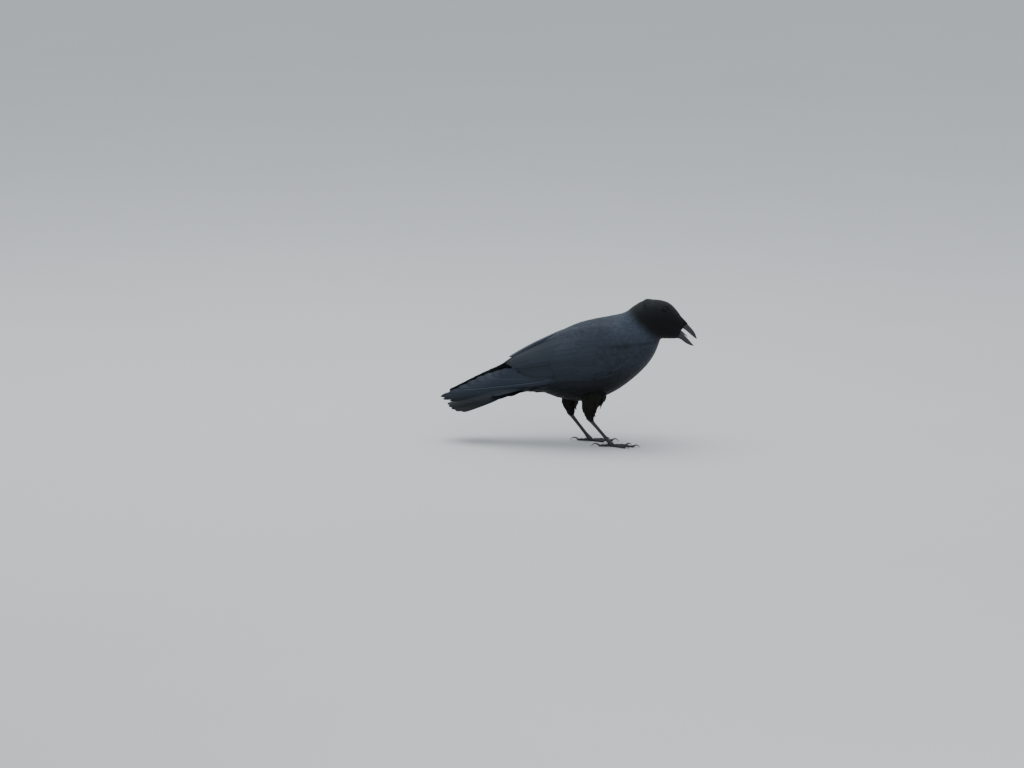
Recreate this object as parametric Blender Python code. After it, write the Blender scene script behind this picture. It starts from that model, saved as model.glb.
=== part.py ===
"""A standing crow, life size, parted into the pieces a person would name.

The bird faces +X and stands on z = 0, with its right side toward -Y. Sizes are in millimetres
here and are scaled to metres as each mesh is made.
"""
import math

import bmesh
import bpy
import numpy as np

MM = 0.001                  # metres in a millimetre
GAP = 0.3                   # clearance between neighbouring solids
OBJECT_NAME = "crow"

# The body: each row is one oval section, from the bill's root to the tail's root. It gives the
# section's crest (x, z), its keel (x, z), its half width, and how far above the keel it is
# widest, as a share of its height.
BODY = (
    (179.6, 193.5, 170.5, 168.0, 9.5, 0.55),       # 0 face
    (173.8, 201.3, 164.5, 167.3, 14.0, 0.58),      # 1 lores
    (166.0, 211.8, 157.5, 167.0, 18.0, 0.61),      # 2 brow
    (153.5, 222.6, 150.0, 167.0, 21.3, 0.62),      # 3 forehead
    (135.0, 226.8, 142.8, 165.8, 23.5, 0.60),      # 4 crown
    (115.5, 224.6, 138.8, 156.5, 26.5, 0.55),      # 5 occiput
    (102.0, 217.3, 134.5, 145.5, 31.0, 0.52),      # 6 nape
    (86.5, 206.0, 128.5, 134.5, 37.0, 0.50),       # 7 collar
    (65.5, 200.3, 118.5, 121.5, 43.0, 0.50),       # 8 mantle
    (42.0, 195.4, 100.0, 103.5, 47.5, 0.50),       # 9 back
    (15.0, 188.0, 76.0, 85.5, 50.0, 0.50),         # 10 saddle
    (-10.0, 176.5, 50.0, 73.5, 50.0, 0.50),        # 11 loin
    (-33.0, 163.0, 20.0, 69.2, 46.0, 0.50),        # 12 flank
    (-55.0, 147.5, -12.0, 73.5, 37.5, 0.50),       # 13 vent
    (-74.0, 130.5, -38.0, 81.0, 27.5, 0.50),       # 14 rump
    (-91.0, 111.0, -64.0, 80.0, 19.5, 0.50),       # 15 tail coverts
    (-106.0, 95.0, -88.0, 73.5, 13.0, 0.50),       # 16 tail root
)
BODY_SQUARENESS = 0.92      # exponent on the oval's sine and cosine, under 1 for fuller flanks
BODY_SIDES = 26
HEAD_END = 5.0              # station where the head meets the neck
NECK_END = 7.6              # station where the neck meets the trunk
SEAM = 0.024                # part of a station left open where two lengths of the body meet
RINGS_PER_STATION = 2

# The folded wing: each row is one section across it, with x, then (y, z) of its upper edge, its
# middle and its lower edge, then its thickness. y is the distance from the bird's midplane.
COVERTS = (
    (102.0, 39.0, 168.0, 42.5, 159.0, 41.5, 150.0, 5.0),
    (96.0, 36.0, 182.0, 48.5, 159.0, 45.0, 135.0, 10.0),
    (80.0, 33.0, 190.0, 54.0, 156.0, 50.0, 121.5, 13.0),
    (54.0, 30.0, 192.0, 57.5, 149.5, 54.0, 110.5, 14.0),
    (18.0, 24.5, 186.0, 58.5, 143.0, 56.0, 106.0, 13.0),
    (-8.0, 19.0, 177.0, 55.5, 142.0, 55.5, 103.0, 11.0),
    (-24.0, 15.0, 170.0, 52.0, 141.0, 54.5, 101.5, 9.0),
)
SECONDARIES = (
    (-24.3, 15.0, 170.0, 51.0, 143.0, 54.0, 108.0, 9.0),
    (-40.0, 12.0, 162.3, 46.0, 138.5, 51.0, 107.5, 7.0),
    (-56.0, 9.5, 154.3, 40.0, 136.5, 46.5, 111.0, 5.0),
    (-75.0, 8.5, 143.7, 31.0, 135.0, 41.0, 119.0, 3.5),
    (-88.0, 10.0, 135.6, 24.5, 132.5, 34.5, 125.5, 2.4),
    (-95.0, 16.0, 131.4, 22.0, 130.6, 27.0, 128.8, 1.4),
)
PRIMARIES = (
    (-24.3, 54.0, 107.0, 54.2, 104.5, 54.2, 101.5, 5.0),
    (-40.0, 51.0, 106.4, 51.2, 103.0, 51.0, 98.5, 4.4),
    (-56.0, 46.7, 109.8, 48.2, 103.0, 48.4, 95.5, 4.0),
    (-75.0, 41.0, 117.6, 44.7, 106.0, 45.0, 93.0, 3.6),
    (-88.0, 34.3, 124.0, 40.8, 107.5, 42.5, 91.0, 3.3),
    (-95.0, 26.5, 127.0, 37.0, 109.0, 40.5, 89.6, 3.1),
    (-110.0, 14.0, 118.6, 31.5, 105.5, 37.0, 86.0, 3.0),
    (-125.0, 11.0, 112.0, 27.5, 99.0, 34.0, 81.0, 2.8),
    (-152.0, 8.5, 99.3, 21.5, 87.5, 28.0, 71.5, 2.4),
    (-178.0, 8.0, 85.6, 17.5, 76.0, 23.0, 64.0, 2.0),
    (-190.0, 9.5, 78.8, 15.5, 71.6, 20.0, 63.0, 1.6),
    (-198.5, 13.0, 73.4, 14.5, 70.6, 16.5, 67.6, 1.1),
)
WING_REACH = {"right": 1.0, "left": 0.9}    # length of the primaries past the secondaries
EDGE_SHARE = 0.35           # a wing plate's thickness at its edges, as a share of its middle's
PLATE_POINTS = 6            # points across one face of a wing or tail plate

# The tail: x, half width and thickness of each section of a plate that droops and arches.
TAIL = (
    (-72.0, 11.0, 7.0),
    (-95.0, 16.0, 6.0),
    (-120.0, 23.0, 5.0),
    (-142.0, 29.5, 4.0),
    (-154.0, 30.5, 3.4),
    (-165.0, 27.0, 3.0),
    (-176.0, 20.0, 2.4),
    (-184.0, 12.0, 1.8),
    (-188.5, 4.0, 1.2),
)
TAIL_RINGS_PER_ROW = 1.5
TAIL_ROOT_X = -72.0
TAIL_ROOT_Z = 90.5
TAIL_DROOP = 0.285          # fall of the tail for each unit of length
TAIL_ARCH = 0.018           # fall of the tail's edges, for each square millimetre of y

# The bill: culmen or upper edge (x, z), lower edge (x, z) and half width of each section.
BILL_UPPER = (
    (173.0, 202.0, 165.0, 187.0, 8.3),
    (180.0, 194.3, 171.5, 183.8, 7.8),
    (184.9, 188.9, 177.0, 182.6, 6.6),
    (190.4, 183.0, 183.0, 178.4, 5.2),
    (194.9, 177.0, 188.5, 173.6, 3.7),
    (197.5, 171.0, 194.3, 169.2, 1.9),
    (198.5, 167.8, 197.7, 167.2, 0.7),
)
BILL_LOWER = (
    (165.0, 181.0, 160.0, 169.0, 7.8),
    (171.5, 179.2, 168.0, 167.8, 7.0),
    (177.0, 175.6, 174.3, 165.6, 5.9),
    (183.0, 169.6, 180.5, 161.0, 4.4),
    (188.8, 163.0, 187.2, 157.6, 2.6),
    (193.4, 157.2, 192.8, 156.2, 0.8),
)
TONGUE = (
    (168.5, 181.5, 167.5, 179.6, 3.4),
    (174.0, 179.6, 173.0, 177.6, 3.2),
    (179.5, 175.4, 178.6, 173.9, 2.5),
    (184.0, 170.8, 183.4, 170.1, 0.9),
)
BILL_SIDES = 12
RIDGE_SHARE = 0.30          # height of the bill's widest line above its lower edge

EYE_RADIUS = 6.2
EYE_SEGMENTS = 14
EYE_RINGS = 8
EYE_CENTRE = (150.5, 13.6, 213.0)

# The legs: the right foot stands forward of the left one.
HIP_Y = 24.0
FOOT_Y = 22.0
FOOT_X = {"right": 69.0, "left": 30.0}
HEEL = {"right": (33.0, 45.0), "left": (-3.0, 45.8)}
THIGH = {                   # x, z and the two radii of each level section, from the hip down
    "right": ((40.0, 96.0, 22.0, 15.0), (41.0, 78.0, 20.0, 14.0), (38.5, 67.0, 14.5, 11.0),
              (35.5, 58.0, 10.2, 8.5), (35.0, 50.0, 6.8, 6.2), (36.3, 43.5, 4.6, 4.3)),
    "left": ((8.0, 96.0, 22.0, 15.0), (3.0, 78.0, 19.0, 14.0), (0.0, 67.0, 13.5, 11.0),
             (-1.8, 58.0, 10.2, 8.5), (-1.0, 50.5, 6.8, 6.2), (0.6, 44.0, 4.6, 4.3)),
}
THIGH_SIDES = 18
SHANK_RADII = ((0.0, 3.9), (0.06, 3.9), (0.16, 2.9), (0.5, 2.5), (0.82, 2.6), (0.94, 3.5), (1.0, 3.9))
SHANK_HEIGHT = 3.7          # height of the shank's lower end above the ground

TOES = {                    # turn outward in degrees, length, radius at the root and at the tip
    "hallux": (176.0, 19.0, 2.3, 1.7),
    "inner": (-24.0, 25.0, 2.1, 1.6),
    "middle": (3.0, 36.0, 2.4, 1.7),
    "outer": (31.0, 27.0, 2.1, 1.5),
}
CLAWS = {"hallux": 13.5, "inner": 10.0, "middle": 10.5, "outer": 9.0}
TOE_ROOT = 2.6              # distance of a toe's root from the centre of the ball of the foot
TOE_FLAT = 0.35             # depth to which a toe's underside is pressed flat
TOE_PAD_SWELL = 0.12        # swelling of the pads between the joints, as a share of the radius
CLAW_ARCH = 0.26            # height of a claw's arch, as a share of its length
CLAW_GIRTH = 0.8            # radius of a claw's root, as a share of the toe's
CLAW_ROOT = 1.2             # depth of a claw's root inside the toe
CLAW_TIP_RADIUS = 0.28

COLOURS = {                 # base colour, roughness
    "plumage": ((0.012, 0.012, 0.015), 0.55),
    "flight": ((0.014, 0.015, 0.021), 0.42),
    "horn": ((0.020, 0.019, 0.020), 0.38),
    "scale": ((0.022, 0.021, 0.022), 0.50),
    "eye": ((0.016, 0.008, 0.005), 0.08),
    "mouth": ((0.210, 0.070, 0.070), 0.45),
}


def clear_scene():
    """Remove every object of the scene."""
    for item in list(bpy.data.objects):
        bpy.data.objects.remove(item, do_unlink=True)


def new_collection(name):
    """Return a new collection linked to the scene."""
    group = bpy.data.collections.new(name)
    bpy.context.scene.collection.children.link(group)
    return group


def finish(name, kind):
    """Return a Principled material of one of the kinds in COLOURS."""
    colour, roughness = COLOURS[kind]
    material = bpy.data.materials.new(name)
    material.use_nodes = True
    shader = material.node_tree.nodes["Principled BSDF"]
    shader.inputs["Base Color"].default_value = (*colour, 1.0)
    shader.inputs["Roughness"].default_value = roughness
    shader.inputs["Metallic"].default_value = 0.0
    return material


def spline(rows, places):
    """Read a smooth curve through the rows of a table, at places counted in rows."""
    table = np.asarray(rows, float)
    places = np.atleast_1d(np.asarray(places, float))
    last = len(table) - 1
    start = np.clip(np.floor(places).astype(int), 0, last - 1)
    t = (places - start)[:, None]
    before, here = table[np.maximum(start - 1, 0)], table[start]
    after, beyond = table[start + 1], table[np.minimum(start + 2, last)]
    slope_in, slope_out = (after - before) / 2, (beyond - here) / 2
    return (here * (2 * t**3 - 3 * t**2 + 1) + slope_in * (t**3 - 2 * t**2 + t)
            + after * (3 * t**2 - 2 * t**3) + slope_out * (t**3 - t**2))


def stations(start, end, per_row=RINGS_PER_STATION):
    """Return evenly spaced places from start to end, per_row of them to each row or more."""
    return np.linspace(start, end, math.ceil((end - start) * per_row - 1e-9) + 1)


def solid(name, rings, material, group, folded=False):
    """Make a closed solid from rings of points (rings, points, 3).

    Round ends are closed by fans. A folded ring runs along one face of a plate and back along
    the other, and its ends are closed by strips between the two.
    """
    count, sides = rings.shape[:2]
    points = rings.reshape(-1, 3)
    faces = []
    for ring in range(count - 1):
        for side in range(sides):
            a, b = ring * sides + side, ring * sides + (side + 1) % sides
            faces.append((a, b, b + sides, a + sides))
    if not folded:
        points = np.concatenate([points, rings[[0, -1]].mean(axis=1)])
    for end, start in enumerate((0, (count - 1) * sides)):
        if folded:
            faces += [(start + k, start + k + 1, start + sides - 2 - k, start + sides - 1 - k)
                      for k in range(sides // 2 - 1)]
        else:
            faces += [(start + k, start + (k + 1) % sides, count * sides + end)
                      for k in range(sides)]
    mesh = bpy.data.meshes.new(name)
    mesh.from_pydata((points * MM).tolist(), [], faces)
    return add_solid(name, mesh, material, group)


def face_outward(shape):
    """Turn the faces of a closed bmesh outward."""
    bmesh.ops.recalc_face_normals(shape, faces=shape.faces)
    if shape.calc_volume(signed=True) < 0:
        bmesh.ops.reverse_faces(shape, faces=shape.faces)


def add_solid(name, mesh, material, group):
    """Turn a mesh's faces outward, shade it smooth and link it as an object."""
    shape = bmesh.new()
    shape.from_mesh(mesh)
    bmesh.ops.remove_doubles(shape, verts=shape.verts, dist=0.01 * MM)
    face_outward(shape)
    shape.to_mesh(mesh)
    shape.free()
    mesh.shade_smooth()
    mesh.set_sharp_from_angle(angle=math.radians(40))
    if material:
        mesh.materials.append(material)
    item = bpy.data.objects.new(name, mesh)
    group.objects.link(item)
    return item


def evaluated_mesh(item):
    """Return a copy of an object's mesh with its modifiers applied."""
    bpy.context.view_layer.update()
    graph = bpy.context.evaluated_depsgraph_get()
    return bpy.data.meshes.new_from_object(item.evaluated_get(graph))


def grown(item, cutters):
    """Return a cutter: a copy of an object whose faces stand out by the gap."""
    mesh = evaluated_mesh(item)
    shape = bmesh.new()
    shape.from_mesh(mesh)
    face_outward(shape)
    shape.normal_update()
    moves = [v.normal * min(v.calc_shell_factor(), 1.8) * GAP * MM for v in shape.verts]
    for vertex, move in zip(shape.verts, moves):
        vertex.co += move
    shape.to_mesh(mesh)
    shape.free()
    return add_cutter("cut_" + item.name, mesh, cutters)


def add_cutter(name, mesh, cutters):
    """Link a mesh as a wire-drawn cutter that isn't rendered."""
    cutter = bpy.data.objects.new(name, mesh)
    cutter.hide_render = True
    cutter.display_type = "WIRE"
    cutters.objects.link(cutter)
    return cutter


def cut(item, *tools):
    """Take each cutter out of an object."""
    for tool in tools:
        modifier = item.modifiers.new(tool.name, "BOOLEAN")
        modifier.operation = "DIFFERENCE"
        modifier.solver = "EXACT"
        modifier.object = tool


def ground_cutter(cutters):
    """Return a block whose top is the ground."""
    shape = bmesh.new()
    bmesh.ops.create_cube(shape, size=1.0)
    bmesh.ops.scale(shape, vec=(0.4, 0.4, 0.05), verts=shape.verts)
    bmesh.ops.translate(shape, vec=(0.0, 0.0, -0.025), verts=shape.verts)
    mesh = bpy.data.meshes.new("cut_ground")
    shape.to_mesh(mesh)
    shape.free()
    return add_cutter("cut_ground", mesh, cutters)


def ovals(rows, places, sides, squareness=1.0, widest=0.5):
    """Return oval rings read from rows of crest (x, z), keel (x, z) and half width.

    An oval's points are the centre plus the reach to crest or keel times the cosine, and the half
    width times the sine. The centre lies a share of the height above the keel: the row's own
    last value, or else the one called widest.
    """
    table = spline(rows, places)
    crest, keel, half = table[:, None, 0:2], table[:, None, 2:4], table[:, None, 4]
    if table.shape[1] > 5:
        widest = table[:, None, 5:6]
    angle = np.linspace(0, 2 * math.pi, sides, endpoint=False)
    rise, sweep = np.cos(angle), np.sin(angle)
    rise = (np.sign(rise) * np.abs(rise)**squareness)[None, :, None]
    sweep = (np.sign(sweep) * np.abs(sweep)**squareness)[None, :]
    centre = keel + widest * (crest - keel)
    plane = centre + np.where(rise >= 0, crest - centre, centre - keel) * rise
    return np.stack([plane[..., 0], half * sweep, plane[..., 1]], axis=2)


def plates(rows, places, side):
    """Return the rings of a curved plate across the folded wing.

    Each section's outer face is the parabola through its upper edge, middle and lower edge. Its
    inner face lies inside that by the thickness, which falls to EDGE_SHARE at both edges.
    """
    table = spline(rows, places)
    v = np.linspace(0, 1, PLATE_POINTS)[None, :, None]
    upper, middle, lower = table[:, None, 1:3], table[:, None, 3:5], table[:, None, 5:7]
    outer = upper * (1 - v) * (1 - 2 * v) + middle * 4 * v * (1 - v) + lower * v * (2 * v - 1)
    run = np.gradient(outer, axis=1)
    run /= np.linalg.norm(run, axis=2, keepdims=True)
    inward = np.stack([run[..., 1], -run[..., 0]], axis=2)
    share = EDGE_SHARE + (1 - EDGE_SHARE) * np.sin(math.pi * v)
    inner = outer + inward * share * table[:, None, 7:8]
    loop = np.concatenate([outer, inner[:, ::-1]], axis=1)
    x = np.broadcast_to(table[:, None, 0], loop.shape[:2])
    return np.stack([x, side * loop[..., 0], loop[..., 1]], axis=2)


def tail_rings(places):
    """Return the rings of the tail, whose top falls with x and with the square of y."""
    table = spline(TAIL, places)
    x, half, thickness = table[:, 0:1], table[:, 1:2], table[:, 2:3]
    across = np.linspace(-1, 1, PLATE_POINTS + 2)[None, :]
    y = half * across
    top = TAIL_ROOT_Z + (x - TAIL_ROOT_X) * TAIL_DROOP - TAIL_ARCH * y**2
    base = top - thickness * (EDGE_SHARE + (1 - EDGE_SHARE) * np.cos(across * math.pi / 2))
    wide = np.broadcast_to(x, top.shape)
    over = np.stack([wide, y, top], axis=2)
    under = np.stack([wide, y, base], axis=2)
    return np.concatenate([over, under[:, ::-1]], axis=1)


def tube(name, points, radii, material, group, resolution=2):
    """Make a tube of varying radius along straight runs between points, with filled caps."""
    curve = bpy.data.curves.new(name, "CURVE")
    curve.dimensions = "3D"
    curve.bevel_depth = MM
    curve.bevel_resolution = resolution
    curve.use_fill_caps = True
    run = curve.splines.new("POLY")
    run.points.add(len(points) - 1)
    for knot, point, radius in zip(run.points, points, radii):
        knot.co = (*(value * MM for value in point), 1.0)
        knot.radius = radius
    item = bpy.data.objects.new(name + "_curve", curve)
    group.objects.link(item)
    mesh = evaluated_mesh(item)
    mesh.name = name
    mesh.materials.clear()
    bpy.data.objects.remove(item, do_unlink=True)
    return add_solid(name, mesh, material, group)


def body_rings(start, end):
    """Return the body's rings from one station to another."""
    return ovals(BODY, stations(start, end), BODY_SIDES, BODY_SQUARENESS)


def build_body(group, cutters):
    """Build the head, neck and trunk as lengths of one loft, and a cutter of the whole loft."""
    last = len(BODY) - 1
    spans = (("head", 0.0, HEAD_END - SEAM / 2), ("neck", HEAD_END + SEAM / 2, NECK_END - SEAM / 2),
             ("trunk", NECK_END + SEAM / 2, last))
    pieces = {name: solid(name, body_rings(start, end), finish(name, "plumage"), group)
              for name, start, end in spans}
    whole = solid("whole_body", body_rings(0, last), None, group)
    cutter = grown(whole, cutters)
    bpy.data.objects.remove(whole, do_unlink=True)
    return pieces, cutter


def build_bill(group, body_cutter, cutters):
    """Build the open bill, with the tongue in the floor of the lower half."""
    pieces = {}
    for name, rows in (("bill_upper", BILL_UPPER), ("bill_lower", BILL_LOWER)):
        share = RIDGE_SHARE if name == "bill_upper" else 1 - RIDGE_SHARE
        rings = ovals(rows, stations(0, len(rows) - 1), BILL_SIDES, widest=share)
        pieces[name] = solid(name, rings, finish(name, "horn"), group)
        cut(pieces[name], body_cutter)
    rings = ovals(TONGUE, stations(0, len(TONGUE) - 1), BILL_SIDES)
    tongue = solid("tongue", rings, finish("tongue", "mouth"), group)
    cut(tongue, body_cutter)
    cut(pieces["bill_lower"], grown(tongue, cutters))


def build_eye(side_name, side, group):
    """Build one eyeball."""
    shape = bmesh.new()
    bmesh.ops.create_uvsphere(shape, u_segments=EYE_SEGMENTS, v_segments=EYE_RINGS, radius=EYE_RADIUS * MM)
    x, y, z = EYE_CENTRE
    bmesh.ops.translate(shape, vec=(x * MM, side * y * MM, z * MM), verts=shape.verts)
    name = "eye_" + side_name
    mesh = bpy.data.meshes.new(name)
    shape.to_mesh(mesh)
    shape.free()
    return add_solid(name, mesh, finish(name, "eye"), group)


def drawn_in(rows, start, reach):
    """Draw the rows behind the row called start towards it, in x and z, to a share of reach."""
    table = np.array(rows)
    along = [0, 2, 4, 6]
    table[start:, along] = table[start, along] + reach * (table[start:, along] - table[start, along])
    return table


def build_wing(side_name, side, body_cutter, group):
    """Build one folded wing, its coverts, secondaries and primaries meeting edge to edge."""
    primaries = drawn_in(PRIMARIES, len(SECONDARIES) - 1, WING_REACH[side_name])
    for kind, rows, look in (("coverts", COVERTS, "plumage"), ("secondaries", SECONDARIES, "flight"),
                             ("primaries", primaries, "flight")):
        name = f"wing_{kind}_{side_name}"
        per_row = 1 if kind == "primaries" else RINGS_PER_STATION
        rings = plates(rows, stations(0, len(rows) - 1, per_row), side)
        piece = solid(name, rings, finish(name, look), group, folded=True)
        cut(piece, body_cutter)


def build_tail(body_cutter, group):
    """Build the closed tail, cut to the trunk."""
    rings = tail_rings(stations(0, len(TAIL) - 1, TAIL_RINGS_PER_ROW))
    tail = solid("tail", rings, finish("tail", "flight"), group, folded=True)
    cut(tail, body_cutter)


def build_thigh(side_name, side, body_cutter, group):
    """Build one feathered thigh as a loft of level ovals."""
    rows = spline(THIGH[side_name], stations(0, len(THIGH[side_name]) - 1))
    angle = np.linspace(0, 2 * math.pi, THIGH_SIDES, endpoint=False)[None, :]
    x = rows[:, 0:1] + rows[:, 2:3] * np.cos(angle)
    y = side * HIP_Y + (side * (FOOT_Y - HIP_Y)) * np.linspace(0, 1, len(rows))[:, None]
    y = y + rows[:, 3:4] * np.sin(angle)
    z = np.broadcast_to(rows[:, 1:2], x.shape)
    name = "thigh_" + side_name
    thigh = solid(name, np.stack([x, y, z], axis=2), finish(name, "plumage"), group)
    cut(thigh, body_cutter)
    return thigh


def build_shank(side_name, side, thigh_cutter, ground, group):
    """Build one bare shank, from the heel to the ball of the foot."""
    heel_x, heel_z = HEEL[side_name]
    heel = np.array([heel_x, side * FOOT_Y, heel_z])
    ball = np.array([FOOT_X[side_name], side * FOOT_Y, SHANK_HEIGHT])
    points = [heel + share * (ball - heel) for share, _ in SHANK_RADII]
    name = "shank_" + side_name
    shank = tube(name, points, [radius for _, radius in SHANK_RADII], finish(name, "scale"), group,
                 resolution=3)
    cut(shank, thigh_cutter, ground)
    return shank


def build_foot(side_name, side, shank_cutter, ground, group, cutters):
    """Build the four toes of one foot and their claws, the middle toe first."""
    beside = [shank_cutter]
    for toe in ("middle", "inner", "outer", "hallux"):
        turn, length, root_radius, tip_radius = TOES[toe]
        angle = math.radians(side * turn)
        ahead = np.array([math.cos(angle), math.sin(angle), 0.0])
        ball = np.array([FOOT_X[side_name], side * FOOT_Y, 0.0])
        shares = np.linspace(0, 1, 9)
        radii = root_radius + (tip_radius - root_radius) * shares
        radii = radii * (1 + TOE_PAD_SWELL * np.cos(shares * 3 * 2 * math.pi))
        points = [ball + ahead * (TOE_ROOT + (length - TOE_ROOT) * share)
                  + np.array([0, 0, radius - TOE_FLAT])
                  for share, radius in zip(shares, radii)]
        name = f"toe_{toe}_{side_name}"
        piece = tube(name, points, radii, finish(name, "scale"), group)
        claw = build_claw(toe, side_name, points[-1] - ahead * CLAW_ROOT, radii[-1], ahead, group)
        cut(claw, ground)
        cut(piece, *beside, ground, grown(claw, cutters))
        if toe == "middle":
            beside.append(grown(piece, cutters))


def build_claw(toe, side_name, root, toe_radius, ahead, group):
    """Build one claw that leaves the toe's end in an arch and rests its tip on the ground."""
    shares = np.linspace(0, 1, 7)
    radii = (toe_radius - CLAW_TIP_RADIUS) * (1 - shares)**0.8 * CLAW_GIRTH + CLAW_TIP_RADIUS
    fall = root[2] - CLAW_TIP_RADIUS / 2
    rise = CLAW_ARCH * CLAWS[toe] * np.sin(math.pi * shares)**0.9 - fall * shares**1.6
    points = [root + ahead * CLAWS[toe] * share + np.array([0, 0, lift])
              for share, lift in zip(shares, rise)]
    name = f"claw_{toe}_{side_name}"
    return tube(name, points, radii, finish(name, "horn"), group)


def main():
    """Build the whole bird."""
    clear_scene()
    group = new_collection(OBJECT_NAME)
    cutters = new_collection(OBJECT_NAME + "_cutters")
    body, body_cutter = build_body(group, cutters)
    build_bill(group, body_cutter, cutters)
    ground = ground_cutter(cutters)
    for side_name, side in (("left", 1), ("right", -1)):
        eye = build_eye(side_name, side, group)
        cut(body["head"], grown(eye, cutters))
        build_wing(side_name, side, body_cutter, group)
        thigh = build_thigh(side_name, side, body_cutter, group)
        shank = build_shank(side_name, side, grown(thigh, cutters), ground, group)
        build_foot(side_name, side, grown(shank, cutters), ground, group, cutters)
    build_tail(body_cutter, group)


main()
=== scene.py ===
"""The crow: skin, plumage, bill, eyes and feet, laid over its solids in their own frame."""
import logging
import math
from dataclasses import dataclass, field, replace
from enum import Enum

import bpy
import numpy as np
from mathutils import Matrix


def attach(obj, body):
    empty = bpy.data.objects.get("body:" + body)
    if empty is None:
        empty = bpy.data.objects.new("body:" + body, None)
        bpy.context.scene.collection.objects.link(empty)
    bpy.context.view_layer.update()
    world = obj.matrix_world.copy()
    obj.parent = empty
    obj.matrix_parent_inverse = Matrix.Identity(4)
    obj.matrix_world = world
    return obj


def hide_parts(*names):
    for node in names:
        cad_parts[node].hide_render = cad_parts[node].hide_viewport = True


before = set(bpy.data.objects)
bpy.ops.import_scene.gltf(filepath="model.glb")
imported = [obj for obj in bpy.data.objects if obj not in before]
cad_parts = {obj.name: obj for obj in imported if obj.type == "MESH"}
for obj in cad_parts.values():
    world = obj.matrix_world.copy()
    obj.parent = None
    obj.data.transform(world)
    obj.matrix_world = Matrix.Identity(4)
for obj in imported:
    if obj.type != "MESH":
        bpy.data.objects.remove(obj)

MM = 0.001
ROUND = 2 * math.pi
LOG = logging.getLogger("crow")
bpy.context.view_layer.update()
Array = np.ndarray
Socket = bpy.types.NodeSocket


class Side(Enum):
    """The two sides of the bird; the value is the sign of y."""
    RIGHT = -1
    LEFT = 1

    @property
    def word(self) -> str:
        """The side's name in node names."""
        return self.name.lower()


# ---------------------------------------------------------------- curves and surfaces

def spline(rows: Array, places: Array) -> Array:
    """Read a smooth curve through the rows of a table.

    Between two rows the curve is the cubic that leaves each of them along the line that joins its
    neighbours (Catmull-Rom).

    Args:
        rows: the table, a row for each knot.
        places: where to read, counted in rows.

    Returns:
        One row of values for each place.
    """
    table = np.asarray(rows, float)
    places = np.atleast_1d(np.asarray(places, float))
    last = len(table) - 1
    start = np.clip(np.floor(places).astype(int), 0, last - 1)
    t = (places - start)[:, None]
    before, here = table[np.maximum(start - 1, 0)], table[start]
    after, beyond = table[start + 1], table[np.minimum(start + 2, last)]
    slope_in, slope_out = (after - before) / 2, (beyond - here) / 2
    return (here * (2 * t**3 - 3 * t**2 + 1) + slope_in * (t**3 - 2 * t**2 + t)
            + after * (3 * t**2 - 2 * t**3) + slope_out * (t**3 - t**2))


def step(value: Array, low: float, high: float) -> Array:
    """Rise smoothly from 0 at low to 1 at high, as 3t^2 - 2t^3."""
    t = np.clip((np.asarray(value, float) - low) / (high - low), 0, 1)
    return t * t * (3 - 2 * t)


def turns(count: int, rounds: float = 1.0) -> Array:
    """Even angles over whole rounds, the last one short of the first."""
    return np.linspace(0, rounds * ROUND, count, endpoint=False)


def unit(vectors: Array) -> Array:
    """Scale vectors to length one."""
    return vectors / np.maximum(np.linalg.norm(vectors, axis=-1, keepdims=True), 1e-12)


def blur(values: Array, reach: float, axis: int, wrap: bool) -> Array:
    """Smooth an array along one axis with the bell exp(-(i / reach)^2 / 2).

    Args:
        values: the array.
        reach: the bell's reach, in cells.
        axis: the axis to smooth along.
        wrap: whether that axis closes on itself.

    Returns:
        The smoothed array.
    """
    wide = int(math.ceil(reach * 2.5))
    bell = np.exp(-0.5 * (np.arange(-wide, wide + 1) / reach)**2)
    bell /= bell.sum()
    pad = [(0, 0)] * values.ndim
    pad[axis] = (wide, wide)
    padded = np.pad(values, pad, mode="wrap" if wrap else "edge")
    count = values.shape[axis]
    parts = [share * np.take(padded, range(i, i + count), axis) for i, share in enumerate(bell)]
    return np.sum(parts, axis=0)


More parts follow.
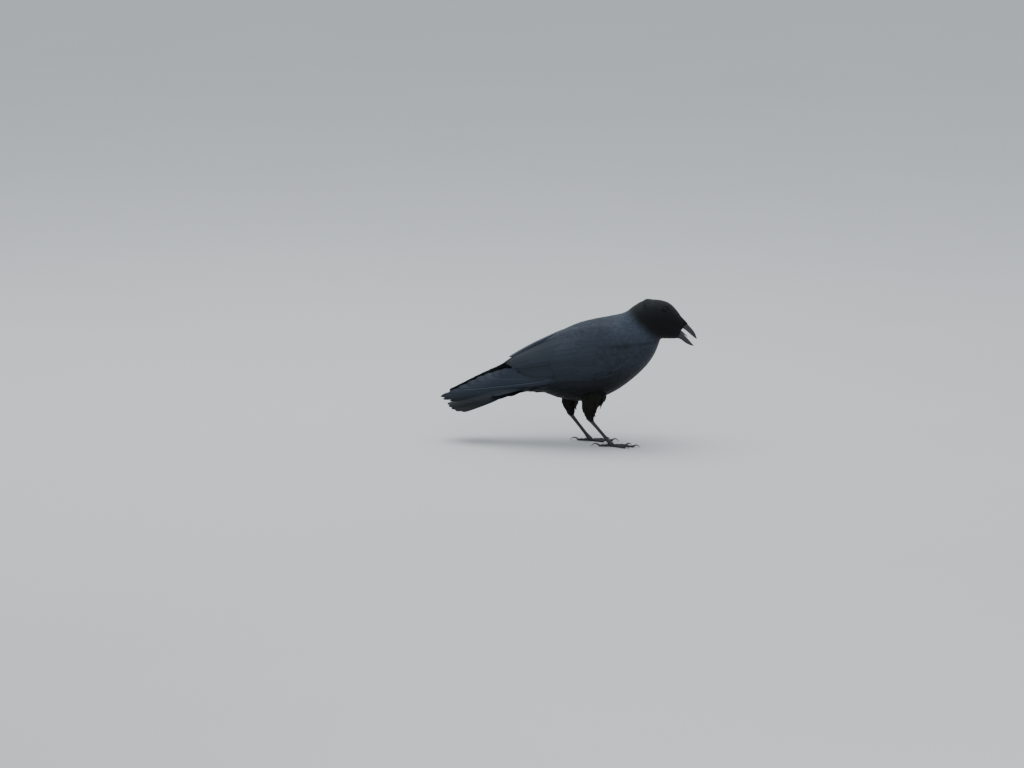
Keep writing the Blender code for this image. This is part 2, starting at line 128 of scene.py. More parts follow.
@dataclass
class Surface:
    """A curved surface on a grid of points, in millimetres.

    Rows follow the lie of the feathers from head to tail; columns run across it. A place on it is
    u, counted in rows, and v, from 0 to 1 across.
    """
    points: Array
    wraps: bool
    flip: bool = False

    def __post_init__(self) -> None:
        """Work out the tangents and normals on the grid."""
        grid = self.points
        if self.wraps:
            grid = np.concatenate([grid[:, -1:], grid, grid[:, :1]], axis=1)
        across = np.gradient(grid, axis=1)
        if self.wraps:
            across = across[:, 1:-1]
        self.cells = self.points.shape[1] if self.wraps else self.points.shape[1] - 1
        self.along = np.gradient(self.points, axis=0)
        self.across = across * self.cells
        self.normals = unit(np.cross(self.along, self.across)) * (-1 if self.flip else 1)

    def read(self, table: Array, u: Array, v: Array) -> Array:
        """Read a grid table between its points, running straight on past its open edges.

        Args:
            table: values on the grid.
            u: places along, in rows.
            v: places across, 0 to 1.

        Returns:
            The values at those places.
        """
        rows, columns = self.points.shape[:2]
        i = np.clip(np.floor(u).astype(int), 0, rows - 2)
        a = (u - i)[..., None]
        across = v * self.cells
        if self.wraps:
            across = np.mod(across, columns)
            j = np.floor(across).astype(int) % columns
            k = (j + 1) % columns
        else:
            j = np.clip(np.floor(across).astype(int), 0, columns - 2)
            k = j + 1
        b = (across - j)[..., None]
        near = table[i, j] * (1 - b) + table[i, k] * b
        far = table[i + 1, j] * (1 - b) + table[i + 1, k] * b
        return near * (1 - a) + far * a

    def at(self, u: Array, v: Array) -> tuple[Array, Array]:
        """Return the points and unit normals at places."""
        return self.read(self.points, u, v), unit(self.read(self.normals, u, v))

    def steps(self, u: Array, v: Array, ahead: Array, aside: Array, turn: Array) -> tuple:
        """Turn distances on the surface into changes of u and v.

        The distances are laid off in the plane that touches the surface at (u, v), ahead along the
        rows' own direction turned by an angle, and aside square to that; the change is the pair
        that the surface's two tangents need to reach them.

        Args:
            u, v: the places, one for each feather.
            ahead, aside: distances in millimetres, a row for each feather.
            turn: the angle of each feather, in radians.

        Returns:
            The changes of u and of v, in the shape of ahead.
        """
        u = np.clip(u, 0, len(self.points) - 1)
        e, f = self.read(self.along, u, v), self.read(self.across, u, v)
        normal = unit(self.read(self.normals, u, v))
        lie = unit(e)
        square = np.cross(normal, lie)
        turn = turn[:, None]
        heading = lie * np.cos(turn) + square * np.sin(turn)
        beside = np.cross(normal, heading)
        ee, ef, ff = (e * e).sum(1), (e * f).sum(1), (f * f).sum(1)
        span = ee * ff - ef * ef
        out = []
        for first, second, cross in ((e, f, ff), (f, e, ee)):
            for way in (heading, beside):
                out.append((((first * way).sum(1) * cross - (second * way).sum(1) * ef) / span)[:, None])
        return ahead * out[0] + aside * out[1], ahead * out[2] + aside * out[3]


def tube_faces(rings: int, sides: int, closed: bool = True) -> list:
    """Number the quads between rings of points.

    Args:
        rings, sides: how many rings, and points in each.
        closed: whether a cap closes each end.

    Returns:
        The faces, each a list of point numbers.
    """
    i = np.arange(rings - 1)[:, None] * sides
    j = np.arange(sides)[None, :]
    k = (j + 1) % sides
    quads = np.stack([i + j, i + k, i + sides + k, i + sides + j], axis=2).reshape(-1, 4)
    faces = quads.tolist()
    if closed:
        faces += [list(range(sides))[::-1], list(range((rings - 1) * sides, rings * sides))]
    return faces


def lofted(path: Array, radii: Array, sides: int, swell: Array | float = 1.0) -> Array:
    """Carry a round section along a path.

    Each ring is the path's point plus the radius times the cosine and sine of the angle, along the
    horizontal and the steep direction square to the path.

    Args:
        path: the path's points, in millimetres.
        radii: one radius for each point.
        sides: points in each ring.
        swell: a share of the radius, for each ring and angle.

    Returns:
        A grid of points, a ring for each point of the path.
    """
    run = unit(np.gradient(path, axis=0))
    level = unit(np.cross(np.array([0.0, 0.0, 1.0]), run))
    steep = np.cross(run, level)
    angle = turns(sides)[None, :, None]
    spoke = level[:, None] * np.cos(angle) + steep[:, None] * np.sin(angle)
    share = np.broadcast_to(np.asarray(swell), (len(path), sides))[..., None]
    return path[:, None] + spoke * radii[:, None, None] * share


# ---------------------------------------------------------------- meshes

def outward(points: Array, faces: Array | list) -> Array | list:
    """Turn a closed shape's faces outwards.

    The shape's volume is the sum over its quads of p0 . (p1 x p2) + p0 . (p2 x p3), over six; where
    that is below zero every face is turned round.

    Args:
        points: the shape's points.
        faces: its faces, as an array of quads or as lists of point numbers.

    Returns:
        The faces, turned or as they were.
    """
    quads = np.array([face for face in faces if len(face) == 4])
    a, b, c, d = (points[quads[:, k]] for k in range(4))
    volume = (a * (np.cross(b, c) + np.cross(c, d))).sum()
    if volume >= 0:
        return faces
    return faces[:, ::-1] if isinstance(faces, np.ndarray) else [face[::-1] for face in faces]


@dataclass
class Piece:
    """One finished piece of the bird: its shape, finish, material slot and what it stands for."""
    name: str
    points: Array
    faces: Array | list
    finish: "Finish"
    slot: str
    replaces: tuple = ()
    maps: dict = field(default_factory=dict)
    tones: dict = field(default_factory=dict)
    crease: float = 60.0

    @staticmethod
    def fill(mesh: bpy.types.Mesh, points: Array, faces: Array | list) -> None:
        """Write points and faces into a mesh, in bulk where every face has as many corners.

        Args:
            mesh: the empty mesh.
            points: its points, in metres.
            faces: its faces, as an array or as lists of point numbers.
        """
        if not isinstance(faces, np.ndarray):
            mesh.from_pydata(points.tolist(), [], faces)
            return
        mesh.vertices.add(len(points))
        mesh.vertices.foreach_set("co", points.ravel())
        mesh.loops.add(faces.size)
        mesh.loops.foreach_set("vertex_index", faces.ravel().astype(np.int32))
        mesh.polygons.add(len(faces))
        mesh.polygons.foreach_set("loop_start", np.arange(0, faces.size, faces.shape[1], dtype=np.int32))
        mesh.update(calc_edges=True)

    @classmethod
    def laid(cls, name: str, feathers: tuple, finish: "Finish", slot: str, *nodes: str) -> None:
        """Put a piece made of the points, faces, maps and tones of laid feathers.

        Args:
            name: the piece's name.
            feathers: what a lay of feathers returned.
            finish: its finish.
            slot: its material slot.
            nodes: the CAD nodes that it stands for.
        """
        points, faces, maps, tones = feathers
        cls(name, points, faces, finish, slot, nodes, maps, tones).put()

    @classmethod
    def tube(cls, name: str, grid: Array, finish: "Finish", slot: str, nodes: tuple = (),
             tones: dict | None = None) -> None:
        """Put a piece made of rings of points, closed at both ends.

        Args:
            name: the piece's name.
            grid: its points, a ring in each row.
            finish: its finish.
            slot: its material slot.
            nodes: the CAD nodes that it stands for.
            tones: its named values, one for each point.
        """
        cls(name, grid, tube_faces(*grid.shape[:2]), finish, slot, nodes, {}, tones or {}).put()

    def put(self) -> bpy.types.Object:
        """Make the mesh object, ride it on the root body and report it.

        Returns:
            The object, at the origin, with its place in its mesh.
        """
        mesh = bpy.data.meshes.new(self.name)
        points = np.asarray(self.points, float).reshape(-1, 3) * MM
        self.fill(mesh, points, outward(points, self.faces))
        mesh.validate()
        loops = np.empty(len(mesh.loops), np.int32)
        mesh.loops.foreach_get("vertex_index", loops)
        for name, uv in self.maps.items():
            layer = mesh.uv_layers.new(name=name)
            layer.uv.foreach_set("vector", uv[loops].astype(np.float32).ravel())
        for name, values in self.tones.items():
            mark = mesh.attributes.new(name, "FLOAT", "POINT")
            mark.data.foreach_set("value", values.astype(np.float32))
        mesh.polygons.foreach_set("use_smooth", np.ones(len(mesh.polygons), bool))
        mesh.set_sharp_from_angle(angle=math.radians(self.crease))
        mesh.materials.append(self.finish.material())
        item = bpy.data.objects.new(self.name, mesh)
        bpy.context.scene.collection.objects.link(item)
        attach(item, "root")
        if self.replaces:
            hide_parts(*self.replaces)
        LOG.info("%s: %d faces", self.name, len(mesh.polygons))
        return item


# ---------------------------------------------------------------- materials

class Wire:
    """A number that flows through a material's nodes, with the usual arithmetic."""

    def __init__(self, bench: "Bench", socket: Socket) -> None:
        """Hold a socket of one bench."""
        self.bench, self.socket = bench, socket

    def _math(self, operation: str, *values: "Wire | float") -> "Wire":
        """Add one Math node on these values, in order."""
        made = self.bench.node("ShaderNodeMath", {"operation": operation}, dict(enumerate(values)))
        return Wire(self.bench, made.outputs[0])

    def __add__(self, other: "Wire | float") -> "Wire":
        """This value plus another."""
        return self._math("ADD", self, other)

    def __radd__(self, other: float) -> "Wire":
        """A number plus this value."""
        return self._math("ADD", other, self)

    def __sub__(self, other: "Wire | float") -> "Wire":
        """This value less another."""
        return self._math("SUBTRACT", self, other)

    def __rsub__(self, other: float) -> "Wire":
        """A number less this value."""
        return self._math("SUBTRACT", other, self)

    def __mul__(self, other: "Wire | float") -> "Wire":
        """This value times another."""
        return self._math("MULTIPLY", self, other)

    def __rmul__(self, other: float) -> "Wire":
        """A number times this value."""
        return self._math("MULTIPLY", other, self)

    def __abs__(self) -> "Wire":
        """This value without its sign."""
        return self._math("ABSOLUTE", self)

    def wave(self) -> "Wire":
        """The sine of the value."""
        return self._math("SINE", self)

    def rise(self, low: float, high: float) -> "Wire":
        """Rise smoothly from 0 at low to 1 at high."""
        made = self.bench.node("ShaderNodeMapRange", {"interpolation_type": "SMOOTHSTEP"},
                               {"Value": self, "From Min": low, "From Max": high})
        return Wire(self.bench, made.outputs[0])


class Bench:
    """One material's node tree, with its shader."""

    def __init__(self, name: str) -> None:
        """Start a material with one Principled shader."""
        self.material = bpy.data.materials.new(name)
        self.material.use_nodes = True
        self.tree = self.material.node_tree
        self.shader = self.tree.nodes["Principled BSDF"]

    def node(self, kind: str, settings: dict | None = None, sockets: dict | None = None) -> bpy.types.Node:
        """Add a node.

        Args:
            kind: the node's type.
            settings: its settings, set first.
            sockets: values or links for its sockets, by name or number.

        Returns:
            The node.
        """
        made = self.tree.nodes.new(kind)
        for key, value in (settings or {}).items():
            setattr(made, key, value)
        for key, value in (sockets or {}).items():
            self.feed(made.inputs[key], value)
        return made

    def feed(self, socket: Socket, value: "Wire | Socket | float | tuple") -> None:
        """Link a socket to a wire or an output, or set its value.

        Args:
            socket: the input.
            value: what it gets.
        """
        if isinstance(value, Wire):
            value = value.socket
        if isinstance(value, Socket):
            self.tree.links.new(value, socket)
        else:
            socket.default_value = value

    def place(self) -> tuple:
        """The place in the object's own frame, in metres: its vector socket and x, y and z."""
        spot = self.node("ShaderNodeTexCoord").outputs["Object"]
        parts = self.node("ShaderNodeSeparateXYZ", None, {0: spot})
        return (spot, *(Wire(self, socket) for socket in parts.outputs))

    def noise(self, spot: Socket, scale: float, detail: float = 3.0) -> Wire:
        """Cloudy noise from 0 to 1 at a place."""
        made = self.node("ShaderNodeTexNoise", None, {"Vector": spot, "Scale": scale, "Detail": detail})
        return Wire(self, made.outputs[0])

    def tone(self, name: str) -> Wire:
        """A number stored on the mesh under a name."""
        made = self.node("ShaderNodeAttribute", {"attribute_name": name})
        return Wire(self, made.outputs["Fac"])

    def blend(self, share: Wire | float, first: Socket | tuple, second: Socket | tuple,
              kind: str = "MIX") -> Socket:
        """Mix two colours by a share."""
        made = self.node("ShaderNodeMix", {"data_type": "RGBA", "blend_type": kind},
                         {0: share, 6: first, 7: second})
        return made.outputs[2]

    def shaded(self, first: Socket, value: Wire) -> Socket:
        """Multiply a colour by a number."""
        grey = self.node("ShaderNodeCombineXYZ", None, {0: value, 1: value, 2: value}).outputs[0]
        return self.blend(1.0, first, grey, "MULTIPLY")

    def bump(self, height: Wire, strength: float, distance: float) -> None:
        """Bend the shader's normal by a height."""
        made = self.node("ShaderNodeBump", None,
                         {"Height": height, "Strength": strength, "Distance": distance})
        self.feed(self.shader.inputs["Normal"], made.outputs[0])

    def set(self, **values: "Wire | Socket | float") -> bpy.types.Material:
        """Set the shader's sockets, an underscore for each blank, and return the material."""
        for key, value in values.items():
            self.feed(self.shader.inputs[key.replace("_", " ")], value)
        return self.material


def colour(r: float, g: float, b: float) -> tuple:
    """An opaque colour."""
    return (r, g, b, 1.0)


# slate and mantle: the plumage's own blue-black, lightened and blued as painted sky sheen; the mantle,
# lighter still, is painted for the light that falls on the back
SLATE_SHEEN = colour(0.0180, 0.0235, 0.0330)
MANTLE_SHEEN = colour(0.0215, 0.0290, 0.0425)
# a bluer, lighter band round the neck: painted sheen over the plumage's own blue-black
COLLAR_SHEEN = colour(0.0320, 0.0410, 0.0590)
# painted shadow of the breast feathers where they overhang the bend of the wing
TUCK_SHADOW = colour(0.004, 0.005, 0.007)
# the belly's own dull black, darkened further as painted shade from below
BELLY_SHADED = colour(0.0022, 0.0026, 0.0027)
CHEEK = colour(0.0028, 0.0036, 0.0040)
# the head's dull black, lightened on the crown as painted sheen from above
CROWN_SHEEN = colour(0.0070, 0.0084, 0.0094)


def markings(bench: Bench) -> tuple:
    """The bird's colour by place, with painted light: dull black head and belly; on mantle and wings a
    slate blue that is partly the plumage's own gloss and partly painted sky sheen, lighter on the back.

    The head lies past the slanted plane 0.70 x + 0.716 z, with a bluer, lighter band of painted sheen
    round the neck before it, and its crown painted lighter than its cheeks as sheen from above. The
    belly below a level that falls towards the tail is its own dull black darkened further as painted
    shade. A dark line of painted shadow runs nearly level where the breast feathers fold over the bend
    of the wing.

    Args:
        bench: the material's bench.

    Returns:
        The place, the colour with its painted light and shade, and how far the place is back and head, from
        0 to 1; the back is where the mantle is painted lighter.
    """
    spot, x, _, z = bench.place()
    slant = x * 0.70 + z * 0.716
    head = slant.rise(0.2080, 0.2255)
    # a band round the neck painted bluer and lighter, as sheen
    collar_sheen = slant.rise(0.172, 0.198) * z.rise(0.145, 0.180)
    # below this level, which falls towards the tail, the belly is darkened as painted shade
    low = 1 - (z - x * 0.16).rise(0.074, 0.126)
    # a level line of painted shadow where the breast feathers overhang the bend of the wing
    tuck_shadow = (1 - abs(z - x * 0.05 - 0.1565) * 210).rise(0, 1) * x.rise(0.044, 0.080)
    # the back, where the mantle is painted lighter, as light falling from above
    back = (z - x * 0.2).rise(0.142, 0.178)
    body = bench.blend(back, SLATE_SHEEN, MANTLE_SHEEN)
    for share, sheen_and_shade in ((collar_sheen, COLLAR_SHEEN), (tuck_shadow * 0.42, TUCK_SHADOW), (low, BELLY_SHADED)):
        body = bench.blend(share, body, sheen_and_shade)
    # the crown painted lighter than the cheeks, as sheen from above
    cap = bench.blend(z.rise(0.198, 0.220), CHEEK, CROWN_SHEEN)
    return spot, bench.blend(head, body, cap), back, head


@dataclass(frozen=True)
class Finish:
    """A finish, made once as a material and then shared."""
    name: str

    def material(self) -> bpy.types.Material:
        """The finish's one material."""
        made = bpy.data.materials.get(self.name)
        return made if made else self.make(Bench(self.name))

    def make(self, bench: Bench) -> bpy.types.Material:
        """Build the material's nodes."""
        raise NotImplementedError


@dataclass(frozen=True)
class Plumage(Finish):
    """Feather: colour by place with its painted light, a shaft, slanted barbs, worn edges and a tone of
    each vane's own.

    A feather whose tone is 1 has a painted highlight along its outer edge, with a dark line of painted
    shadow beside it.
    """
    roughness: float = 0.46
    barbs: float = 150.0
    shaft: float = 0.035
    edge: float = 0.25
    depth: float = 0.00012
    gloss: float = 0.13
    vary: float = 0.42
    tint: tuple = (1.0, 1.0, 1.0)
    # how much each tip is darkened: painted shadow where the tip lies over the next feather
    dark_tip: float = 0.12

    def make(self, bench: Bench) -> bpy.types.Material:
        """Build the nodes: a barb line is the sine of (along - 0.35 off) barbs, off the shaft.

        Args:
            bench: the material's bench.

        Returns:
            The material.
        """
        # the colour by place, painted sheen and painted shade included
        spot, marks_and_light, back, head = markings(bench)
        own = bench.node("ShaderNodeUVMap", {"uv_map": "vane"}).outputs[0]
        parts = bench.node("ShaderNodeSeparateXYZ", None, {0: own})
        across, along = Wire(bench, parts.outputs[0]), Wire(bench, parts.outputs[1])
        off = abs(across - 0.5) * 2
        quill = 1 - off.rise(self.shaft * 0.4, self.shaft * 1.6)
        rim = off.rise(0.72, 1.0)
        cloud = bench.noise(spot, 260.0)
        own_tone = bench.tone("tone")
        # a feather of tone 1: a painted highlight along its outer edge, with a line of painted shadow
        # beside it
        lit = own_tone.rise(0.97, 1.0)
        groove_shadow = across.rise(0.55, 0.70) * (1 - across.rise(0.80, 0.86))
        outer = across.rise(0.84, 0.92) * 1.7 - groove_shadow * 0.55
        level = 0.95 + (own_tone - 0.5) * self.vary + cloud * 0.16
        # each tip darkened as painted shadow where it lies over the next feather
        level = level + rim * self.edge - along.rise(0.92, 1) * self.dark_tip
        shade = bench.blend(1.0, marks_and_light, colour(*self.tint), "MULTIPLY")
        shade = bench.shaded(shade, level + quill * 0.25 + lit * outer)
        barb = ((along - off * 0.35) * self.barbs).wave()
        bench.bump(barb * 0.35 + quill * 1.2 + cloud * 0.3, 0.55, self.depth)
        rough = self.roughness + cloud * 0.10 + head * 0.06 - back * 0.03 - quill * 0.1
        return bench.set(Base_Color=shade, Roughness=rough, Specular_IOR_Level=self.gloss)


@dataclass(frozen=True)
class Hide(Finish):
    """The bird's skin under the feathers, in the same colour by place as the coat, painted sheen and shade
    included, with follicle bumps.
    """

    def make(self, bench: Bench) -> bpy.types.Material:
        """Build the nodes: a pit at each feather's root.

        Args:
            bench: the material's bench.

        Returns:
            The material.
        """
        # the coat's colour by place, painted sheen and painted shade included
        spot, marks_and_light, _, _ = markings(bench)
        pores = bench.node("ShaderNodeTexVoronoi", None, {"Vector": spot, "Scale": 420.0}).outputs[0]
        pit = Wire(bench, pores)
        shade = bench.shaded(marks_and_light, 0.6 + pit * 0.4)
        bench.bump(pit, 0.5, 0.0003)
        return bench.set(Base_Color=shade, Roughness=0.62 + pit * 0.1, Specular_IOR_Level=0.12)


@dataclass(frozen=True)
class Horn(Finish):
    """Bill and claw horn: near black, grained along its length, worn paler at tip and edge."""
    base: tuple = colour(0.010, 0.010, 0.011)
    worn: tuple = colour(0.030, 0.028, 0.026)
    roughness: float = 0.36

    def make(self, bench: Bench) -> bpy.types.Material:
        """Build the nodes: wear follows the mark called wear, grain is stretched noise.

        Args:
            bench: the material's bench.

        Returns:
            The material.
        """
        spot, *_ = bench.place()
        turned = bench.node("ShaderNodeMapping", None, {0: spot, "Rotation": (0, math.radians(-42), 0),
                                                        "Scale": (90, 700, 700)}).outputs[0]
        grain, patch = bench.noise(turned, 1.0, 4.0), bench.noise(spot, 300.0)
        wear = (bench.tone("wear") + patch * 0.5 - 0.25).rise(0.1, 1.0)
        shade = bench.blend(wear, self.base, self.worn)
        shade = bench.shaded(shade, 0.75 + grain * 0.5)
        bench.bump(grain + patch * 0.4, 0.45, 0.00016)
        return bench.set(Base_Color=shade, Roughness=self.roughness + grain * 0.16 + wear * 0.08)


@dataclass(frozen=True)
class Mouth(Finish):
    """The tongue and the lining of the bill: damp, dark flesh."""

    def make(self, bench: Bench) -> bpy.types.Material:
        """Build the nodes."""
        spot, *_ = bench.place()
        cloud = bench.noise(spot, 500.0)
        shade = bench.blend(cloud, colour(0.008, 0.005, 0.005), colour(0.015, 0.009, 0.009))
        bench.bump(cloud, 0.4, 0.0002)
        return bench.set(Base_Color=shade, Roughness=0.32 + cloud * 0.15, Specular_IOR_Level=0.25)


@dataclass(frozen=True)
class Eyeball(Finish):
    """A wet, very dark brown eye whose pupil hardly shows."""

    def make(self, bench: Bench) -> bpy.types.Material:
        """Build the nodes: rings by the mark called ring, 0 at the pupil's centre.

        Args:
            bench: the material's bench.

        Returns:
            The material.
        """
        spot, *_ = bench.place()
        ring = bench.tone("ring")
        fibre = bench.noise(spot, 1500.0)
        iris = bench.blend(fibre, colour(0.004, 0.0024, 0.0018), colour(0.011, 0.006, 0.004))
        shade = bench.blend(ring.rise(0.30, 0.34), colour(0.001, 0.001, 0.001), iris)
        shade = bench.blend(ring.rise(0.60, 0.66), shade, colour(0.006, 0.005, 0.005))
        return bench.set(Base_Color=shade, Roughness=0.04 + fibre * 0.02, Specular_IOR_Level=0.15)


@dataclass(frozen=True)
class Scute(Finish):
    """The scaled skin of shanks and toes: black plates with dusty grey seams."""

    def make(self, bench: Bench) -> bpy.types.Material:
        """Build the nodes: seams follow the mark called seam.

        Args:
            bench: the material's bench.

        Returns:
            The material.
        """
        spot, *_ = bench.place()
        seam, cloud = bench.tone("seam"), bench.noise(spot, 700.0)
        cells = bench.node("ShaderNodeTexVoronoi", {"feature": "DISTANCE_TO_EDGE"},
                           {"Vector": spot, "Scale": 900.0}).outputs[0]
        net = 1 - Wire(bench, cells).rise(0.0, 0.12)
        shade = bench.blend((seam + net * 0.35).rise(0, 1.2), colour(0.0095, 0.009, 0.0085),
                            colour(0.042, 0.037, 0.031))
        shade = bench.shaded(shade, 0.7 + cloud * 0.6)
        bench.bump(cloud * 0.4 - net * 0.6, 0.6, 0.0002)
        return bench.set(Base_Color=shade, Roughness=0.40 + cloud * 0.18)


@dataclass(frozen=True)
class Ground(Finish):
    """The studio's plain pale floor."""

    def make(self, bench: Bench) -> bpy.types.Material:
        """Build the nodes."""
        spot, *_ = bench.place()
        cloud = bench.noise(spot, 2.0)
        shade = bench.blend(cloud, colour(0.60, 0.60, 0.59), colour(0.64, 0.64, 0.63))
        return bench.set(Base_Color=shade, Roughness=0.85)


COAT = Plumage("contour_feather")
TROUSER = replace(COAT, name="trouser_feather", roughness=0.55, gloss=0.09, tint=(3.3, 2.7, 1.8))
# flight feathers: tips darkened as painted shadow where each lies over the next
FLIGHT = Plumage("flight_feather", roughness=0.44, barbs=420.0, shaft=0.05, edge=0.30, depth=0.0001,
                 dark_tip=0.4)
COVERT = replace(FLIGHT, name="covert_feather", edge=0.16, dark_tip=0.10, vary=0.2)
SECONDARY = replace(FLIGHT, name="secondary_feather", tint=(0.86, 0.88, 0.86), dark_tip=0.6)
PRIMARY = replace(FLIGHT, name="primary_feather", tint=(1.30, 1.32, 1.32))
# tertials over the back, tinted lighter as painted light on their tops, which face up
LIT_TERTIAL = replace(FLIGHT, name="tertial_feather", tint=(1.5, 1.6, 1.6))
RECTRIX = replace(FLIGHT, name="tail_feather", tint=(3.4, 3.4, 3.3))
BRISTLE = Plumage("bristle", roughness=0.46, barbs=30.0, shaft=0.3, edge=0.0, gloss=0.14)
HIDE = Hide("hide")
BILL_HORN = Horn("bill_sheath")
CLAW_HORN = Horn("claw_sheath", base=colour(0.008, 0.008, 0.008), roughness=0.30)
MOUTH = Mouth("mouth_flesh")
EYEBALL = Eyeball("eyeball")
SCUTE = Scute("scute")
GROUND = Ground("ground")


# ---------------------------------------------------------------- feathers

PATCH = 0.003      # length of one feather's patch in the OFBake map


@dataclass(frozen=True)
class Vane:
    """The closed thin shape that every feather of a tract shares.

    Its rings lie at shares of the length, each with a share of the half width; over the top and
    underneath, a ring's points lie at shares of that half width.
    """
    rings: tuple = ((0, .25), (.16, .7), (.42, 1), (.7, .98), (.88, .74), (.97, .4), (1, .12))
    over: tuple = (-1, -.5, 0, .5, 1)
    under: tuple = (0.0,)
    thickness: float = 0.09
    camber: float = 0.025
    ridge: float = 0.0
    shaft: float = 0.08
    thinning: float = 0.65

    def shape(self) -> tuple:
        """Work out every point of the vane.

        The underside lies below the top by the thickness times 1 - b^2; the ridge over the shaft is
        a bell of b. Both thin towards the tip.

        Returns:
            For each point: the shares along and across, the share across times the ring's width,
            the height in millimetres, and the droop as a share of the half width.
        """
        a, w = np.array(self.rings, float).T[:, :, None]
        b = np.array(self.over + self.under)[None, :]
        top = np.array([1] * len(self.over) + [0] * len(self.under))[None, :]
        thin = 1 - self.thinning * a
        thick = (top - 1) * self.thickness * (1 - b**2) * thin
        thick = thick + top * self.ridge * np.exp(-(b / self.shaft)**2) * thin
        droop = -self.camber * b**2 + 0 * a
        return tuple(np.broadcast_to(part, thick.shape).ravel() for part in (a, b, b * w, thick, droop))

    def faces(self) -> Array:
        """Number the quads of one vane, with both ends closed.

        Returns:
            The quads.
        """
        sides = len(self.over) + len(self.under)
        count = len(self.rings)
        quads = tube_faces(count, sides, closed=False)
        last = (count - 1) * sides
        for base, way in ((0, -1), (last, 1)):
            for k in range(1, sides // 2):
                quads.append([base + p for p in (k - 1, k, sides - 1 - k, sides - k)][::way])
        return np.array(quads)


FINE = Vane(over=(-1, 0, 1), thickness=0.06)


@dataclass
class Flock:
    """Many feathers on one surface, a row of each array for each."""
    u: Array
    v: Array
    length: Array
    width: Array
    turn: Array
    root: Array
    tip: Array

    def pick(self, mask: Array) -> "Flock":
        """Keep some of the feathers."""
        return Flock(*(getattr(self, key)[mask] for key in self.__dataclass_fields__))

    def lay(self, surface: Surface, vane: Vane, seed: int) -> tuple:
        """Lay every feather along the surface.

        A point of a vane lies where its distances along and across lead on the surface, and above
        it by the height, which goes from root to tip with the share of the length to the power
        0.8, less the camber times the half width.

        Args:
            surface: what they lie on.
            vane: their shape.
            seed: the seed of their tones.

        Returns:
            Points, faces, the OFBake and vane maps, and the tones.
        """
        a, b, bw, thick, droop = (part[None, :] for part in vane.shape())
        half = self.width[:, None] / 2
        du, dv = surface.steps(self.u, self.v, a * self.length[:, None], bw * half, self.turn)
        spot, normal = surface.at(self.u[:, None] + du, self.v[:, None] + dv)
        height = self.root[:, None] + (self.tip - self.root)[:, None] * a**0.8
        height = height + thick + droop * half
        points = (spot + normal * height[..., None]).reshape(-1, 3)
        count, each = len(self.u), a.shape[1]
        faces = (vane.faces()[None] + (np.arange(count) * each)[:, None, None]).reshape(-1, 4)
        place = np.stack([self.v % 1, self.u / len(surface.points)], axis=1)[:, None]
        a, b, bw = (np.broadcast_to(part, (count, each)) for part in (a, b, bw))
        patch = np.stack([bw, a - .5], 2) * (PATCH / 2, PATCH)
        own = np.stack([(b + 1) / 2, a], 2)
        maps = {"OFBake": (0.004 + place * 0.992 + patch).reshape(-1, 2), "vane": own.reshape(-1, 2)}
        tone = np.repeat(np.random.default_rng(seed).random(count), each)
        return points, faces, maps, {"tone": tone}


def gathered(parts: list) -> tuple:
    """Join several lays into one.

    Args:
        parts: for each, its points, faces, maps and tones.

    Returns:
        The same four of the whole.
    """
    points, faces, *named = zip(*parts)
    starts = np.cumsum([0] + [len(part) for part in points[:-1]])
    maps, tones = ({key: np.concatenate([part[key] for part in kind]) for key in kind[0]} for kind in named)
    return (np.concatenate(points), np.concatenate([part + start for part, start in zip(faces, starts)]),
            maps, tones)


# ---------------------------------------------------------------- the torso

